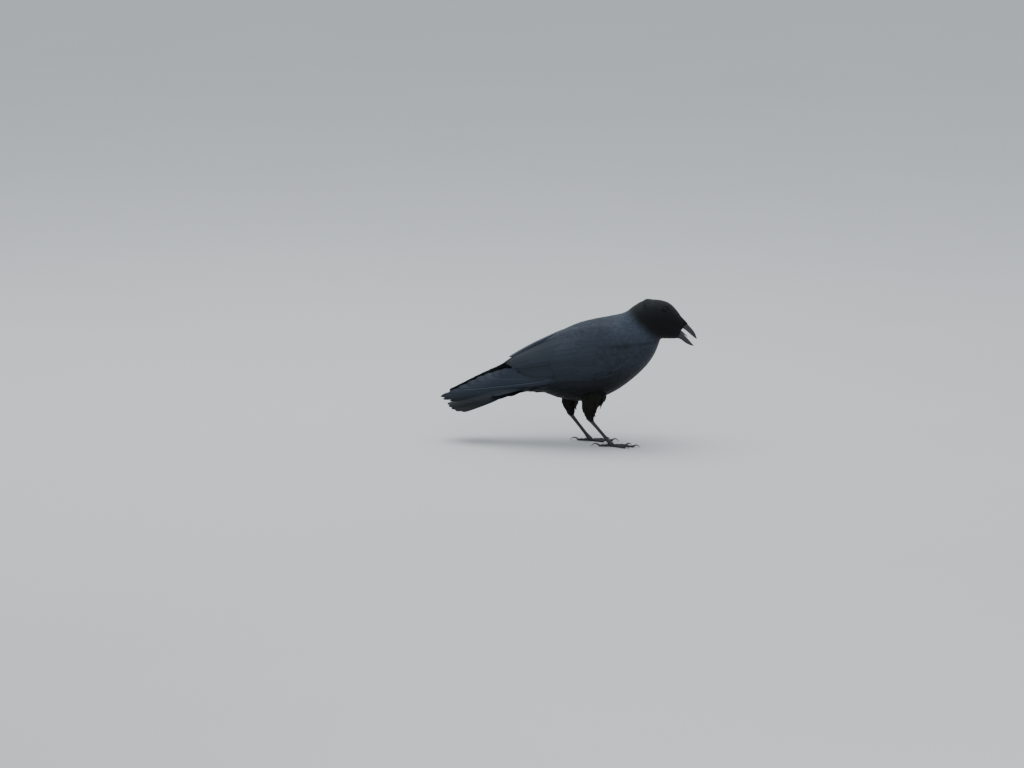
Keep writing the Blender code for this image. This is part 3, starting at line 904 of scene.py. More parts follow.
@dataclass
class Torso:
    """Head, neck and trunk with the folded arms of the wings, as one surface from face to tail root.

    A body row holds the crest (x, z), keel (x, z), half width and the share of the height at which
    the widest line lies. Station numbers count the rows.
    """
    body: tuple = (
        (179.6, 193.5, 170.5, 168.0, 9.5, .55), (173.8, 201.3, 164.5, 167.3, 14.0, .58),
        (166.0, 211.8, 157.5, 167.0, 18.0, .61), (153.5, 222.6, 150.0, 167.0, 21.3, .62),
        (135.0, 226.8, 142.8, 165.8, 23.5, .60), (115.5, 224.6, 138.8, 156.5, 26.5, .55),
        (102.0, 217.3, 134.5, 145.5, 31.0, .52), (86.5, 206.0, 128.5, 134.5, 37.0, .50),
        (65.5, 200.3, 118.5, 121.5, 43.0, .50), (42.0, 195.4, 100.0, 103.5, 47.5, .50),
        (15.0, 188.0, 76.0, 85.5, 50.0, .50), (-10.0, 176.5, 50.0, 73.5, 50.0, .50),
        (-33.0, 163.0, 20.0, 69.2, 46.0, .50), (-55.0, 147.5, -12.0, 73.5, 37.5, .50),
        (-74.0, 130.5, -38.0, 81.0, 27.5, .50), (-91.0, 111.0, -64.0, 80.0, 19.5, .50),
        (-106.0, 95.0, -88.0, 73.5, 13.0, .50))
    squareness: float = 0.92
    rows: int = 241
    columns: int = 180
    # how far the skin lies under the coat's depth and under the thigh, and the cells that fuse it
    sink: float = 0.5
    thigh_sink: float = 1.6
    cell: float = 1.6
    # station, feather length, feather width, coat depth, spacing of the rows of feathers
    tracts: tuple = (
        (0, 3.6, 1.9, 0.8, 0.95), (1, 4.6, 2.3, 0.9, 1.1), (2, 5.4, 2.7, 1.0, 1.3),
        (3, 6.2, 3.1, 1.1, 1.5), (4, 7.6, 3.7, 1.4, 1.8), (5, 9.5, 4.6, 1.8, 2.1),
        (6, 12.0, 5.6, 2.2, 2.6), (7, 15.0, 7.2, 2.6, 3.3), (8, 18.0, 9.2, 3.0, 4.0),
        (9, 19.0, 10.0, 3.0, 4.4), (10, 19.5, 10.4, 3.0, 4.6), (11, 21.0, 11.0, 3.2, 4.9),
        (12, 23.0, 11.5, 3.4, 5.0), (13, 24.0, 11.5, 3.2, 5.0), (14, 22.0, 10.5, 2.6, 4.8),
        (15, 18.0, 9.0, 2.0, 4.4), (16, 14.0, 7.0, 1.6, 4.0))
    # how far apart feathers stand in a row, as a share of their width
    overlap: float = 0.44
    # piece and the stations between which it lies
    pieces: tuple = (("face", 0, 3), ("crown", 3, 5), ("neck", 5, 7.4), ("mantle", 7.4, 10.2),
                     ("flank", 10.2, 16.1))
    # the eye, how far from it the bare rim and the short feathers reach, and the rim's shift and shape
    eye: tuple = (150.5, 13.6, 213.0)
    bare: float = 4.9
    short: float = 14.0
    rim_shift: tuple = (0.4, 0, -.1)
    rim_shape: tuple = (1, .35, 1)

    def tract(self, station: Array) -> Array:
        """Read length, width, depth and spacing at stations."""
        table = np.array(self.tracts)
        return np.stack([np.interp(station, table[:, 0], table[:, k]) for k in range(1, 5)], -1)

    def envelope(self, wing: "Wing") -> Surface:
        """Build the surface: each ring of the body pushed out to the folded wing over it.

        A ring's point is its centre, plus the reach to crest or keel times the cosine, plus the
        half width times the sine, both raised to the squareness. Where the wing's section in the
        ring's plane lies further from the centre at the same angle, the point moves out to it.

        Args:
            wing: either wing, read with y as the distance from the middle plane.

        Returns:
            The surface, its columns running from the crest over the left side to the crest.
        """
        table = spline(self.body, np.linspace(0, len(self.body) - 1, self.rows))
        crest, keel, half = table[:, 0:2], table[:, 2:4], table[:, 4:5]
        angle = turns(self.columns)
        up, out = (np.sign(part) * np.abs(part)**self.squareness for part in (np.cos(angle), np.sin(angle)))
        centre = keel + table[:, 5:6] * (crest - keel)
        tall = unit(crest - keel)
        reach = np.where(up[None] >= 0, np.linalg.norm(crest - centre, axis=1)[:, None],
                         np.linalg.norm(centre - keel, axis=1)[:, None])
        y, q = half * out[None], reach * up[None]
        polar, radius = np.arctan2(np.abs(y), q), np.hypot(y, q)
        arm = wing.arm()
        normal = np.stack([tall[:, 1], -tall[:, 0]], axis=1)
        offset = arm[None][..., [0, 2]] - centre[:, None, None]
        ahead = (offset * normal[:, None, None]).sum(-1)
        level = (offset * tall[:, None, None]).sum(-1)
        crossing = (ahead[:, :-1] >= 0) & (ahead[:, 1:] < 0)
        found, i = crossing.any(1), crossing.argmax(1)
        row, line = np.indices(i.shape)
        share = ahead[row, i, line] / (ahead[row, i, line] - ahead[row, i + 1, line] + 1e-9)
        wing_q = level[row, i, line] * (1 - share) + level[row, i + 1, line] * share
        wing_y = arm[i, line, 1] * (1 - share) + arm[i + 1, line, 1] * share
        pushed = radius.copy()
        for k in np.nonzero(found.sum(1) > 2)[0]:
            there = found[k]
            bearing = np.arctan2(wing_y[k][there], wing_q[k][there])
            order = np.argsort(bearing)
            far = np.interp(polar[k], bearing[order], np.hypot(wing_y[k], wing_q[k])[there][order],
                            left=0, right=0)
            pushed[k] = np.maximum(radius[k], far)
        push = blur(blur(pushed / radius, 1.6, 1, True), 3.0, 0, False)
        push = np.where(push < 1.002, 1.0, push)
        y, q = y * push, q * push
        plane = centre[:, None] + tall[:, None] * q[..., None]
        return Surface(np.stack([plane[..., 0], y, plane[..., 1]], axis=2), wraps=True, flip=True)

    def skin(self, surface: Surface, legs: list) -> None:
        """Build the one skin: the envelope and thighs, sunk by the coat's depth and fused.

        Args:
            surface: the envelope.
            legs: the legs, whose thighs it takes in.
        """
        station = np.linspace(0, len(self.body) - 1, self.rows)
        deep = self.tract(station)[:, 2][:, None, None] + self.sink
        shells = [surface.points - surface.normals * deep]
        for leg in legs:
            shells.append(leg.thigh.points - leg.thigh.normals * self.thigh_sink)
        points, faces = [], []
        for shell in shells:
            base = sum(len(part) for part in points)
            points.append(shell.reshape(-1, 3))
            faces += [[base + p for p in face] for face in tube_faces(*shell.shape[:2])]
        nodes = ("head", "neck", "trunk", "thigh_left", "thigh_right")
        item = Piece("skin", np.concatenate(points), faces, HIDE, "plumage", nodes).put()
        fuse = item.modifiers.new("fuse", "REMESH")
        fuse.mode, fuse.voxel_size, fuse.use_smooth_shade = "VOXEL", self.cell * MM, True
        ease = item.modifiers.new("ease", "SMOOTH")
        ease.iterations, ease.factor = 4, 0.5
        baked = bpy.data.meshes.new_from_object(item.evaluated_get(bpy.context.evaluated_depsgraph_get()))
        item.modifiers.clear()
        item.data = baked
        if not baked.materials:
            baked.materials.append(HIDE.material())

    def flock(self, surface: Surface, seed: int = 3) -> tuple:
        """Set out the contour feathers in staggered rows, smaller and closer towards the face.

        Args:
            surface: the envelope.
            seed: the seed of the small differences.

        Returns:
            The feathers and the station of each.
        """
        dice = np.random.default_rng(seed)
        per = (self.rows - 1) / (len(self.body) - 1)
        pace = np.linalg.norm(surface.along, axis=2).mean(1)
        rows = [0.12 * per]
        while rows[-1] < self.rows - 1:
            here = rows[-1]
            gap = self.tract(np.array([here / per]))[0, 3]
            rows.append(here + gap / pace[int(here)])
        us, vs = [], []
        loops = np.linalg.norm(surface.across, axis=2).mean(1)
        for k, row in enumerate(rows[:-1]):
            width = self.tract(np.array([row / per]))[0, 1]
            count = int(loops[int(row)] / (width * self.overlap)) + 3
            us.append(np.full(count, row))
            vs.append((np.arange(count) + 0.5 * (k % 2)) / count)
        u, v = np.concatenate(us), np.concatenate(vs)
        count = len(u)
        length, width, depth, gap = self.tract(u / per).T
        u = u + dice.normal(0, 0.20, count) * gap / pace[u.astype(int)]
        v = v + dice.normal(0, 0.10, count) * width / loops[u.astype(int).clip(0, self.rows - 1)]
        flock = Flock(u, v, length * dice.uniform(.88, 1.12, count), width * dice.uniform(.9, 1.1, count),
                      turn=dice.normal(0, 0.045, count), root=-depth * 0.30,
                      tip=dice.uniform(-.04, .04, count) * depth)
        return flock, u / per

    def clothe(self, surface: Surface) -> None:
        """Lay the contour feathers, a piece for each tract.

        They are looser on the crown, belly, hip and vent, longer below and over the hip, shorter
        and narrower on the folded arm, short round the eye, and absent from its rim.

        Args:
            surface: the envelope.
        """
        flock, station = self.flock(surface)
        (x, y, z), height = surface.at(flock.u, flock.v)[0].T, np.cos(flock.v * ROUND)
        down = step(height, 0.1, -0.7)
        arm = step(np.abs(y), 44, 52) * step(x, -20, 0)
        crown = np.exp(-((station - 4.35) / .22)**2) * step(height, .55, .9)
        belly = down * step(station, 9.5, 11) * (1 - step(station, 14, 15.5))
        hip = step(x, -25, -5) * (1 - step(x, 62, 80)) * (1 - step(z, 88, 100))
        vent = down * np.exp(-((x + 26) / 9)**2)
        chance, rare = (np.random.default_rng(seed).random(len(station)) for seed in (5, 6))
        flock.length *= 1 + 0.25 * down * step(station, 8, 10) - 0.30 * arm
        flock.length *= 1 + 0.45 * hip
        flock.width *= 1 - 0.14 * arm
        flock.tip += 1.9 * crown
        flock.tip += belly * chance * 1.4
        flock.tip += 1.3 * hip
        flock.tip += 3.6 * vent * rare**2
        spot = np.stack([x, y, z], axis=1)
        near = np.minimum(*(np.linalg.norm((spot - np.array(self.eye) * (1, side.value, 1) - self.rim_shift)
                                           * self.rim_shape, axis=1) for side in Side))
        short = np.minimum(flock.length, 3.1 + 0.12 * near)
        flock.length = np.where(near < self.short, short, flock.length)
        keep = (near > self.bare) & (flock.u > 1) & (flock.u < self.rows - 4)
        for k, (name, low, high) in enumerate(self.pieces):
            part = flock.pick(keep & (station >= low) & (station < high))
            vane = FINE if high <= 5 else Vane()
            Piece.laid(name + "_feathers", part.lay(surface, vane, k), COAT, "plumage")


# ---------------------------------------------------------------- wings

@dataclass(frozen=True)
class Quill:
    """A long feather on a wing or the tail.

    root and tip are the places of its middle line: x, and the height on a wing or the distance
    from the middle on the tail. The half widths are in millimetres towards the first and the last
    column of the surface. layer is how deep it lies under the outer face, and bury how much deeper
    its root goes. A tone of None is left to chance.
    """
    root: tuple
    tip: tuple
    up: float
    low: float
    layer: float
    blunt: float = 0.80
    bury: float = 1.8
    bow: float = 0.0
    tone: float | None = None


@dataclass
class Strip:
    """A surface whose rows lie at even steps of x, on which long feathers are set by x and height.

    first and last are the height, or distance from the middle, of its two long edges; slack is how
    far across, between them, the feathers may reach.
    """
    surface: Surface
    start: float
    pace: float
    first: Array
    last: Array
    slack: tuple = (0.0, 1.0)

    @classmethod
    def through(cls, x: Array, y: Array, z: Array, sign: int, by: Array) -> "Strip":
        """Make a strip of a grid whose rows lie at even steps of x.

        Args:
            x: the first coordinate of the grid's points.
            y: their distance from the middle plane.
            z: their height.
            sign: the sign of y.
            by: the height, or distance from the middle, by which feathers are set.

        Returns:
            The strip.
        """
        points = np.stack(np.broadcast_arrays(x, sign * y, z), axis=2)
        return cls(Surface(points, wraps=False, flip=sign > 0), float(x[0, 0]),
                   float(x[1, 0] - x[0, 0]), by[:, 0], by[:, -1])

    def lay(self, quills: list, seed: int, rings: int = 30, beneath: float = -0.85) -> tuple:
        """Lay long feathers.

        Along a feather the middle line goes from root to tip by its share a, plus a bow of
        4a(1 - a); across, a point leaves it by b times the half width on that side, which grows
        from the base and closes past the blunt share in a quarter of an ellipse. Its height is the
        ridge of the shaft, less the camber, less the layer, which thins towards the tip, less what
        buries its root.

        Args:
            quills: the feathers.
            seed: the seed of their small differences.
            rings: rings along each.
            beneath: the tone of their undersides.

        Returns:
            Points, faces, the OFBake and vane maps, and the tones.
        """
        dice = np.random.default_rng(seed)
        a = np.linspace(0, 1, rings)**0.85
        over = (-1, -.7, -.35, -.1, 0, .1, .35, .7, 1)
        vane = Vane(tuple((s, 1) for s in a), over, (.6, 0, -.6), 0.16, 0.0, 0.16)
        _, b, _, thick, _ = (part.reshape(rings, -1) for part in vane.shape())
        a = a[:, None]
        rows = len(self.first)
        parts = []
        for quill in quills:
            x, level = (root + (tip - root) * a for root, tip in zip(quill.root, quill.tip))
            level = level + quill.bow * 4 * a * (1 - a)
            u = (x - self.start) / self.pace
            first, last = (np.interp(u, np.arange(rows), edge) for edge in (self.first, self.last))
            shut = np.sqrt(np.clip(1 - (np.clip(a - quill.blunt, 0, 1) / (1 - quill.blunt))**2, 0.004, 1))
            grow = 0.35 + 0.65 * step(a, 0, 0.3)
            wobble = 1 + 0.03 * np.sin(a * 9 + dice.uniform(0, 6))
            half = np.where(b < 0, quill.up, quill.low) * grow * shut * wobble
            fray = 1 + 0.012 * np.sin(a * 140 + dice.uniform(0, 6)) * (np.abs(b) > .9) * step(a, .4, .8)
            v = (level - first) / (last - first)
            u = u + 0 * b
            tall = np.linalg.norm(self.surface.read(self.surface.across, u[:, :1], 0 * a + .5), axis=-1)
            v = np.clip(v + b * half * fray / tall, *self.slack)
            spot, normal = self.surface.at(u, v)
            sunk = quill.bury * (1 - step(a, 0.02, 0.34)) + quill.layer * (1 - 0.45 * a)
            height = thick - sunk - 0.02 * b**2 * half
            points = (spot + normal * height[..., None]).reshape(-1, 3)
            place = np.stack([v, u / rows], 2) * 0.9 + 0.05
            patch = np.stack([b, a + 0 * b], 2) * (PATCH / 2, PATCH)
            own = np.stack([(b + 1) / 2, a + 0 * b], 2)
            maps = {"OFBake": (place[rings // 2, 4] + patch).reshape(-1, 2), "vane": own.reshape(-1, 2)}
            chance = dice.random() * 0.96
            tone = np.full((rings, len(over) + 3), chance if quill.tone is None else quill.tone)
            tone[:, len(over):] = beneath
            parts.append((points, vane.faces(), maps, {"tone": tone.ravel()}))
        return gathered(parts)


@dataclass
class Wing:
    """One folded wing: its arm, coverts, secondaries and primaries.

    A row holds x, then y and z of the upper edge, the middle and the lower edge of the outer face,
    through which runs a parabola, then the thickness.
    """
    side: Side
    reach: float = 1.0
    coverts: tuple = (
        (102, 39, 168, 42.5, 159, 41.5, 150, 5), (96, 36, 182, 48.5, 159, 45, 135, 10),
        (80, 33, 190, 54, 156, 50, 121.5, 13), (54, 30, 192, 57.5, 149.5, 54, 110.5, 14),
        (18, 24.5, 186, 58.5, 143, 56, 106, 13), (-8, 19, 177, 55.5, 142, 55.5, 103, 11),
        (-24, 15, 170, 52, 141, 54.5, 101.5, 9))
    secondaries: tuple = (
        (-40, 12, 162.3, 46, 138.5, 51, 107.5, 7), (-56, 9.5, 154.3, 40, 136.5, 46.5, 111, 5),
        (-75, 8.5, 143.7, 31, 135, 41, 119, 3.5), (-88, 10, 135.6, 24.5, 132.5, 34.5, 125.5, 2.4),
        (-95, 16, 131.4, 22, 130.6, 27, 128.8, 1.4))
    primaries: tuple = (
        (-40, 51, 106.4, 51.2, 103, 51, 98.5, 4.4), (-56, 46.7, 109.8, 48.2, 103, 48.4, 95.5, 4),
        (-75, 41, 117.6, 44.7, 106, 45, 93, 3.6), (-88, 34.3, 124, 40.8, 107.5, 42.5, 91, 3.3),
        (-95, 26.5, 127, 37, 109, 40.5, 89.6, 3.1), (-110, 14, 118.6, 31.5, 105.5, 37, 86, 3),
        (-125, 11, 112, 27.5, 99, 34, 81, 2.8), (-152, 8.5, 99.3, 21.5, 87.5, 28, 71.5, 2.4),
        (-178, 8, 85.6, 17.5, 76, 23, 64, 2), (-190, 9.5, 78.8, 15.5, 71.6, 20, 63, 1.6),
        (-198.5, 13, 73.4, 14.5, 70.6, 16.5, 67.6, 1.1))
    # x at which the primaries come clear of the secondaries
    clear: float = -95.0
    # where the primaries' face leaves the lower edge of the coverts
    meeting: tuple = (-24, 54, 107, 54.2, 104.5, 54.2, 101.5, 9)
    # how far across its face feathers may reach, and how far in the body its rear part is sunk
    slack: tuple = (0.0, 1.03)
    sunk: float = 32.0

    @staticmethod
    def section(table: Array, t: Array) -> Array:
        """Points of the parabola through a row's three points: U(1-t)(1-2t) + 4Mt(1-t) + Lt(2t-1).

        Args:
            table: the rows.
            t: shares of the way from the upper edge to the lower.

        Returns:
            A grid of x, y and z.
        """
        upper, middle, lower = table[:, None, 1:3], table[:, None, 3:5], table[:, None, 5:7]
        t = t[None, :, None]
        outer = upper * (1 - t) * (1 - 2 * t) + middle * 4 * t * (1 - t) + lower * t * (2 * t - 1)
        x = np.broadcast_to(table[:, None, 0:1], outer.shape[:2] + (1,))
        return np.concatenate([x, outer], axis=2)

    def upper(self, count: int) -> Array:
        """Rows read evenly along the coverts and the secondaries."""
        rows = np.array(self.coverts + self.secondaries, float)
        return spline(rows, np.linspace(0, len(rows) - 1, count))

    def rear(self) -> Array:
        """The primaries' rows, drawn in by the reach towards where they come clear.

        Returns:
            The rows.
        """
        rows = np.array(self.primaries, float)
        along = [0, 2, 4, 6]
        fixed = rows[4, along]
        rows[5:, along] = fixed + self.reach * (rows[5:, along] - fixed)
        return rows

    def face(self) -> Strip:
        """The wing's whole outer face, its rows at even x and its columns at even heights.

        At each x the section is that of the coverts, or of the secondaries and the primaries below
        them, and y is read from it at heights from the upper edge to the lower.

        Returns:
            The face.
        """
        t = np.linspace(0, 1, 41)
        rear = self.rear()
        lower = np.concatenate([[self.meeting], rear])
        low = spline(lower, np.linspace(0, len(lower) - 1, 300))
        x = np.linspace(self.coverts[0][0], rear[-1, 0], 340)
        even = []
        for part in (self.section(self.upper(300), t), self.section(low, t)):
            even.append(np.stack([[np.interp(-x, -part[:, j, 0], part[:, j, k]) for j in range(len(t))]
                                  for k in (1, 2)], axis=-1).transpose(1, 0, 2))
        heights, widths = [], []
        for k, place in enumerate(x):
            here = (place > self.clear, place <= self.coverts[-1][0])
            run = np.concatenate([part[k] for part, used in zip(even, here) if used])
            level = np.linspace(run[0, 1], run[-1, 1], 61)
            heights.append(level)
            widths.append(np.interp(-level, -np.minimum.accumulate(run[:, 1]), run[:, 0]))
        heights, widths = (blur(np.array(part), 3.0, 0, False) for part in (heights, widths))
        return Strip.through(x[:, None], widths, heights, self.side.value, heights)

    def arm(self) -> Array:
        """The outer face of the coverts and secondaries, sunk into the body behind x = 5.

        Returns:
            A grid of x, y and z.
        """
        grid = self.section(self.upper(240), np.linspace(0, 1, 60))
        grid[..., 1] -= 0.5 + self.sunk * (1 - step(grid[..., 0], -45, 5))
        return grid

    def secondary_quills(self) -> list:
        """Nine secondaries and tertials, the innermost on top and reaching furthest back.

        Returns:
            The feathers, and on the right wing a dark one, painted shadow, where the other wing's tertials
            lap it.
        """
        tips = ((-61, 115), (-66, 116.5), (-71, 119), (-75, 121.5), (-79, 124), (-83, 126.5),
                (-87, 128), (-91, 129.5), (-95, 130.5))
        roots = (114, 120, 126, 133, 140, 148, 156, 164, 173)
        quills = [Quill((24, root), tip, 14 - 0.4 * k, 6.5 + 0.25 * k, 2.2 - 0.25 * k,
                        0.93 if k > 5 else 0.85, 1.2, 1.5)
                  for k, (root, tip) in enumerate(zip(roots, tips))]
        if self.side is Side.RIGHT:
            # a narrow dark feather: painted shadow under the other wing's tertials where they lap this wing
            quills.append(Quill((6, 181.5), (-88, 138), 3.4, 3.4, 0.0, 0.92, 1.2, 1.0, -0.6))
        return quills

    def primary_quills(self) -> list:
        """Ten primaries, the innermost on top and shortest, the eighth at the wing's tip.

        Returns:
            The feathers, the sixth with a lit edge.
        """
        tips = ((-106, 112), (-118, 108.5), (-131, 104), (-144, 98.5), (-158, 91.5), (-172, 84.5),
                (-187, 77), (-198, 71.2), (-194, 67.5), (-183, 65.5))
        lift, full = (5, 12.0) if self.side is Side.LEFT else (0, 8.5)
        quills = []
        for k, (x, z) in enumerate(tips):
            past = x - self.clear
            x, z = self.clear + past * self.reach, z + lift * (1 - k / 9) - (1 - self.reach) * 0.42 * past
            quills.append(Quill((4, 121 - 1.55 * k), (x, z), full - 0.2 * k, 4.6 - 0.12 * k,
                                3.1 + 0.2 * k, 0.87, 0.8, -1.2 + 0.1 * k, 1.0 if k == 5 else None))
        return quills

    def covering(self) -> list:
        """Greater and median coverts, the coverts of the primaries, and the thumb's feathers.

        Returns:
            The feathers, each a little out of place.
        """
        greater = [Quill((48 - 14 * s, 176 - 62 * s), (-9 - 13 * math.sin(s * 2.8), 162 - 53 * s),
                         6.2, 5.0, 0.7 - 0.25 * s, 0.78, 1.4) for s in np.linspace(0, 1, 11)]
        median = [Quill((64 - 8 * s, 177 - 60 * s), (20 - 4 * s, 170 - 56 * s), 4.8, 4.2,
                        0.35 - 0.2 * s, 0.68, 1.6) for s in np.linspace(0, 1, 13)]
        hand = [Quill((58 - 3 * s, 115 - 5 * s), (-20 + 30 * s, 109 - 2 * s), 3.2, 2.6,
                      0.5 - 0.3 * s, 0.82, 3.6) for s in np.linspace(0, 1, 6)]
        thumb = [Quill((80, 122 - 2 * k), (36 + 8 * k, 111.5 + 0.5 * k), 2.8, 2.4,
                       0.25 - 0.2 * k, 0.78, 4.0) for k in range(3)]
        dice = np.random.default_rng(19)
        loose = []
        for quill in greater + median + hand + thumb:
            shift = dice.normal(0, (1.0, 0.8, 0.8, 0.5))
            (root_x, root_z), (tip_x, tip_z) = quill.root, quill.tip
            loose.append(replace(quill, root=(root_x + shift[0], root_z + shift[3]),
                                 tip=(tip_x + 3.0 * shift[1], tip_z + shift[2]),
                                 bow=float(dice.normal(0, 0.7)), layer=quill.layer + dice.normal(0, 0.08)))
        return loose

    def build(self) -> None:
        """Lay the wing's feathers and let them stand for its solids."""
        face = self.face()
        face.slack = self.slack
        for kind, finish, quills, seed, rings, beneath in (
                ("secondaries", SECONDARY, self.secondary_quills(), 11, 40, -0.3),
                ("primaries", PRIMARY, self.primary_quills(), 12, 56, -0.85),
                ("coverts", COVERT, self.covering(), 13, 20, 0.1)):
            name = f"{kind}_{self.side.word}"
            feathers = face.lay(quills, seed, rings, beneath)
            Piece.laid(name, feathers, finish, "flight_feathers", f"wing_{name}")
        if self.side is Side.LEFT:
            self.lapping()

    def lapping(self) -> None:
        """Lay the innermost tertials, which lap over the back onto the other wing.

        They lie on z = edge(x) + 0.4 - 0.0125 (y - 6)^2, edge being the height of the wing's upper
        edge. The first is lit, with its tone set a little high, and the two under it are darkened as
        painted shadow beneath it.
        """
        x = np.linspace(22, -97, 120)[:, None]
        y = np.linspace(15, -13, 31)[None, :]
        dense = self.upper(200)
        edge = np.interp(-x, -dense[:, 0], dense[:, 2])
        z = edge + 0.4 - 0.0125 * (y - 6)**2
        over = Strip.through(x, y, z, 1, y + 0 * x)
        over.surface.normals *= np.sign(over.surface.normals[..., 2:3])
        # tones: the first a little light, the two under it dark as painted shadow beneath it
        tips = (((-93.5, 0), 0.6), ((-90, -4), -1.1), ((-85, -7), -1.4))
        quills = [Quill((19 + 3 * k, 6 - 3 * k), tip, 6.5, 7.0, 0.9 * k, 0.92, 2.6, 0.0, tone)
                  for k, (tip, tone) in enumerate(tips)]
        Piece.laid("tertials_over_back", over.lay(quills, 17, 40), LIT_TERTIAL, "flight_feathers")


# ---------------------------------------------------------------- tail

@dataclass
class Tail:
    """Twelve tail feathers, closed to a narrow fan with the middle pair on top."""
    # x and half width
    spread: tuple = ((-60, 12), (-72, 14), (-95, 22), (-120, 28.5), (-142, 31), (-190, 31))
    # distance from the middle and x of each pair's tips
    tips: tuple = ((2, -188.4), (8, -187.2), (14, -184.5), (19.5, -179.5), (24, -173), (26.5, -164))
    root_x: float = -72.0
    root_z: float = 90.5
    fall: float = 0.285

    def strip(self, drop: float, under: bool = False, wide: float = 0.0, arch: float = 0.018) -> Strip:
        """The tail's top face, less a drop, with its normals down where it is the underside.

        The half width w follows the spread by x, plus wide; across, y = w (2v - 1), and the height
        is root + fall (x - x0) - arch y^2 - drop.

        Args:
            drop: how far below the top face it lies.
            under: whether it is the underside.
            wide: how much wider than the spread it is on each side.
            arch: how fast it falls towards its sides.

        Returns:
            The strip.
        """
        x = np.linspace(-60, -189.5, 160)[:, None]
        half = np.interp(-x, [-row[0] for row in self.spread], [row[1] for row in self.spread]) + wide
        y = half * np.linspace(-1, 1, 41)[None, :]
        z = self.root_z + (x - self.root_x) * self.fall - arch * y**2 - drop
        strip = Strip.through(x, y, z, 1, y)
        up = np.sign(strip.surface.normals[..., 2:3])
        strip.surface.normals *= -up if under else up
        return strip

    @staticmethod
    def coverts(root: float, back: float, tip: float, curve: float, splay: float, half: float,
                bury: float = 1.0) -> list:
        """Set out eleven coverts in a fan, every other one first.

        Args:
            root: x of the middle root.
            back: how far behind it each next root lies.
            tip: x of the middle tip.
            curve: how far before it each next tip lies.
            splay: how far apart the tips lie.
            half: half the width of each.
            bury: how deep the roots go.

        Returns:
            The feathers.
        """
        fan = [Quill((root - back * abs(k), 1.9 * k), (tip + curve * abs(k), splay * k), half, half,
                     0.3 * abs(k) / 2, 0.7, bury) for k in range(-5, 6)]
        return fan[::2] + fan[1::2]

    def build(self) -> None:
        """Lay the feathers, the outermost pair lowest, and let them stand for the tail."""
        quills = []
        for pair, (y, x) in enumerate(self.tips):
            for sign in (-1, 1):
                outer = 9.5 if pair == 0 else 6.0 - 0.3 * pair
                up, low = (outer, 10.5) if sign < 0 else (10.5, outer)
                quills.append(Quill((-64, sign * (0.5 + 1.9 * pair)), (x + 0.5 * sign, sign * y), up, low,
                                    0.1 + 0.36 * pair + (0.16 if sign > 0 else 0), 0.88, 0.3,
                                    sign * 0.8 * pair))
        aside = [Quill((-66, sign * y), (-128 + 0.5 * y, sign * (y + 1)), 5.5, 5.5, 1.8, 0.7, 1.0)
                 for sign in (-1, 1) for y in (16, 20, 24, 28)]
        above = self.coverts(-56, 2, -112, 2.4, 2.6, 5.5)
        below = self.coverts(-58, 2, -128, 3.5, 3.2, 6.5)
        vent = self.coverts(-60, 0, -112, 4, 2.6, 5.0, bury=5.0)
        parts = [self.strip(-1.0).lay(quills, 21, 44, 0.2), self.strip(-2.2).lay(above, 22, 18),
                 self.strip(-3.0, wide=20, arch=0.005).lay(aside, 24, 18, 0.2),
                 self.strip(4.6, under=True).lay(below, 23, 18),
                 self.strip(7.8, under=True).lay(vent, 25, 18)]
        Piece.laid("tail_feathers", gathered(parts), RECTRIX, "flight_feathers", "tail")


# ---------------------------------------------------------------- legs

def grounded(grid: Array) -> Array:
    """Lift whatever lies below the ground onto it."""
    grid[..., 2] = np.maximum(grid[..., 2], 0.0)
    return grid


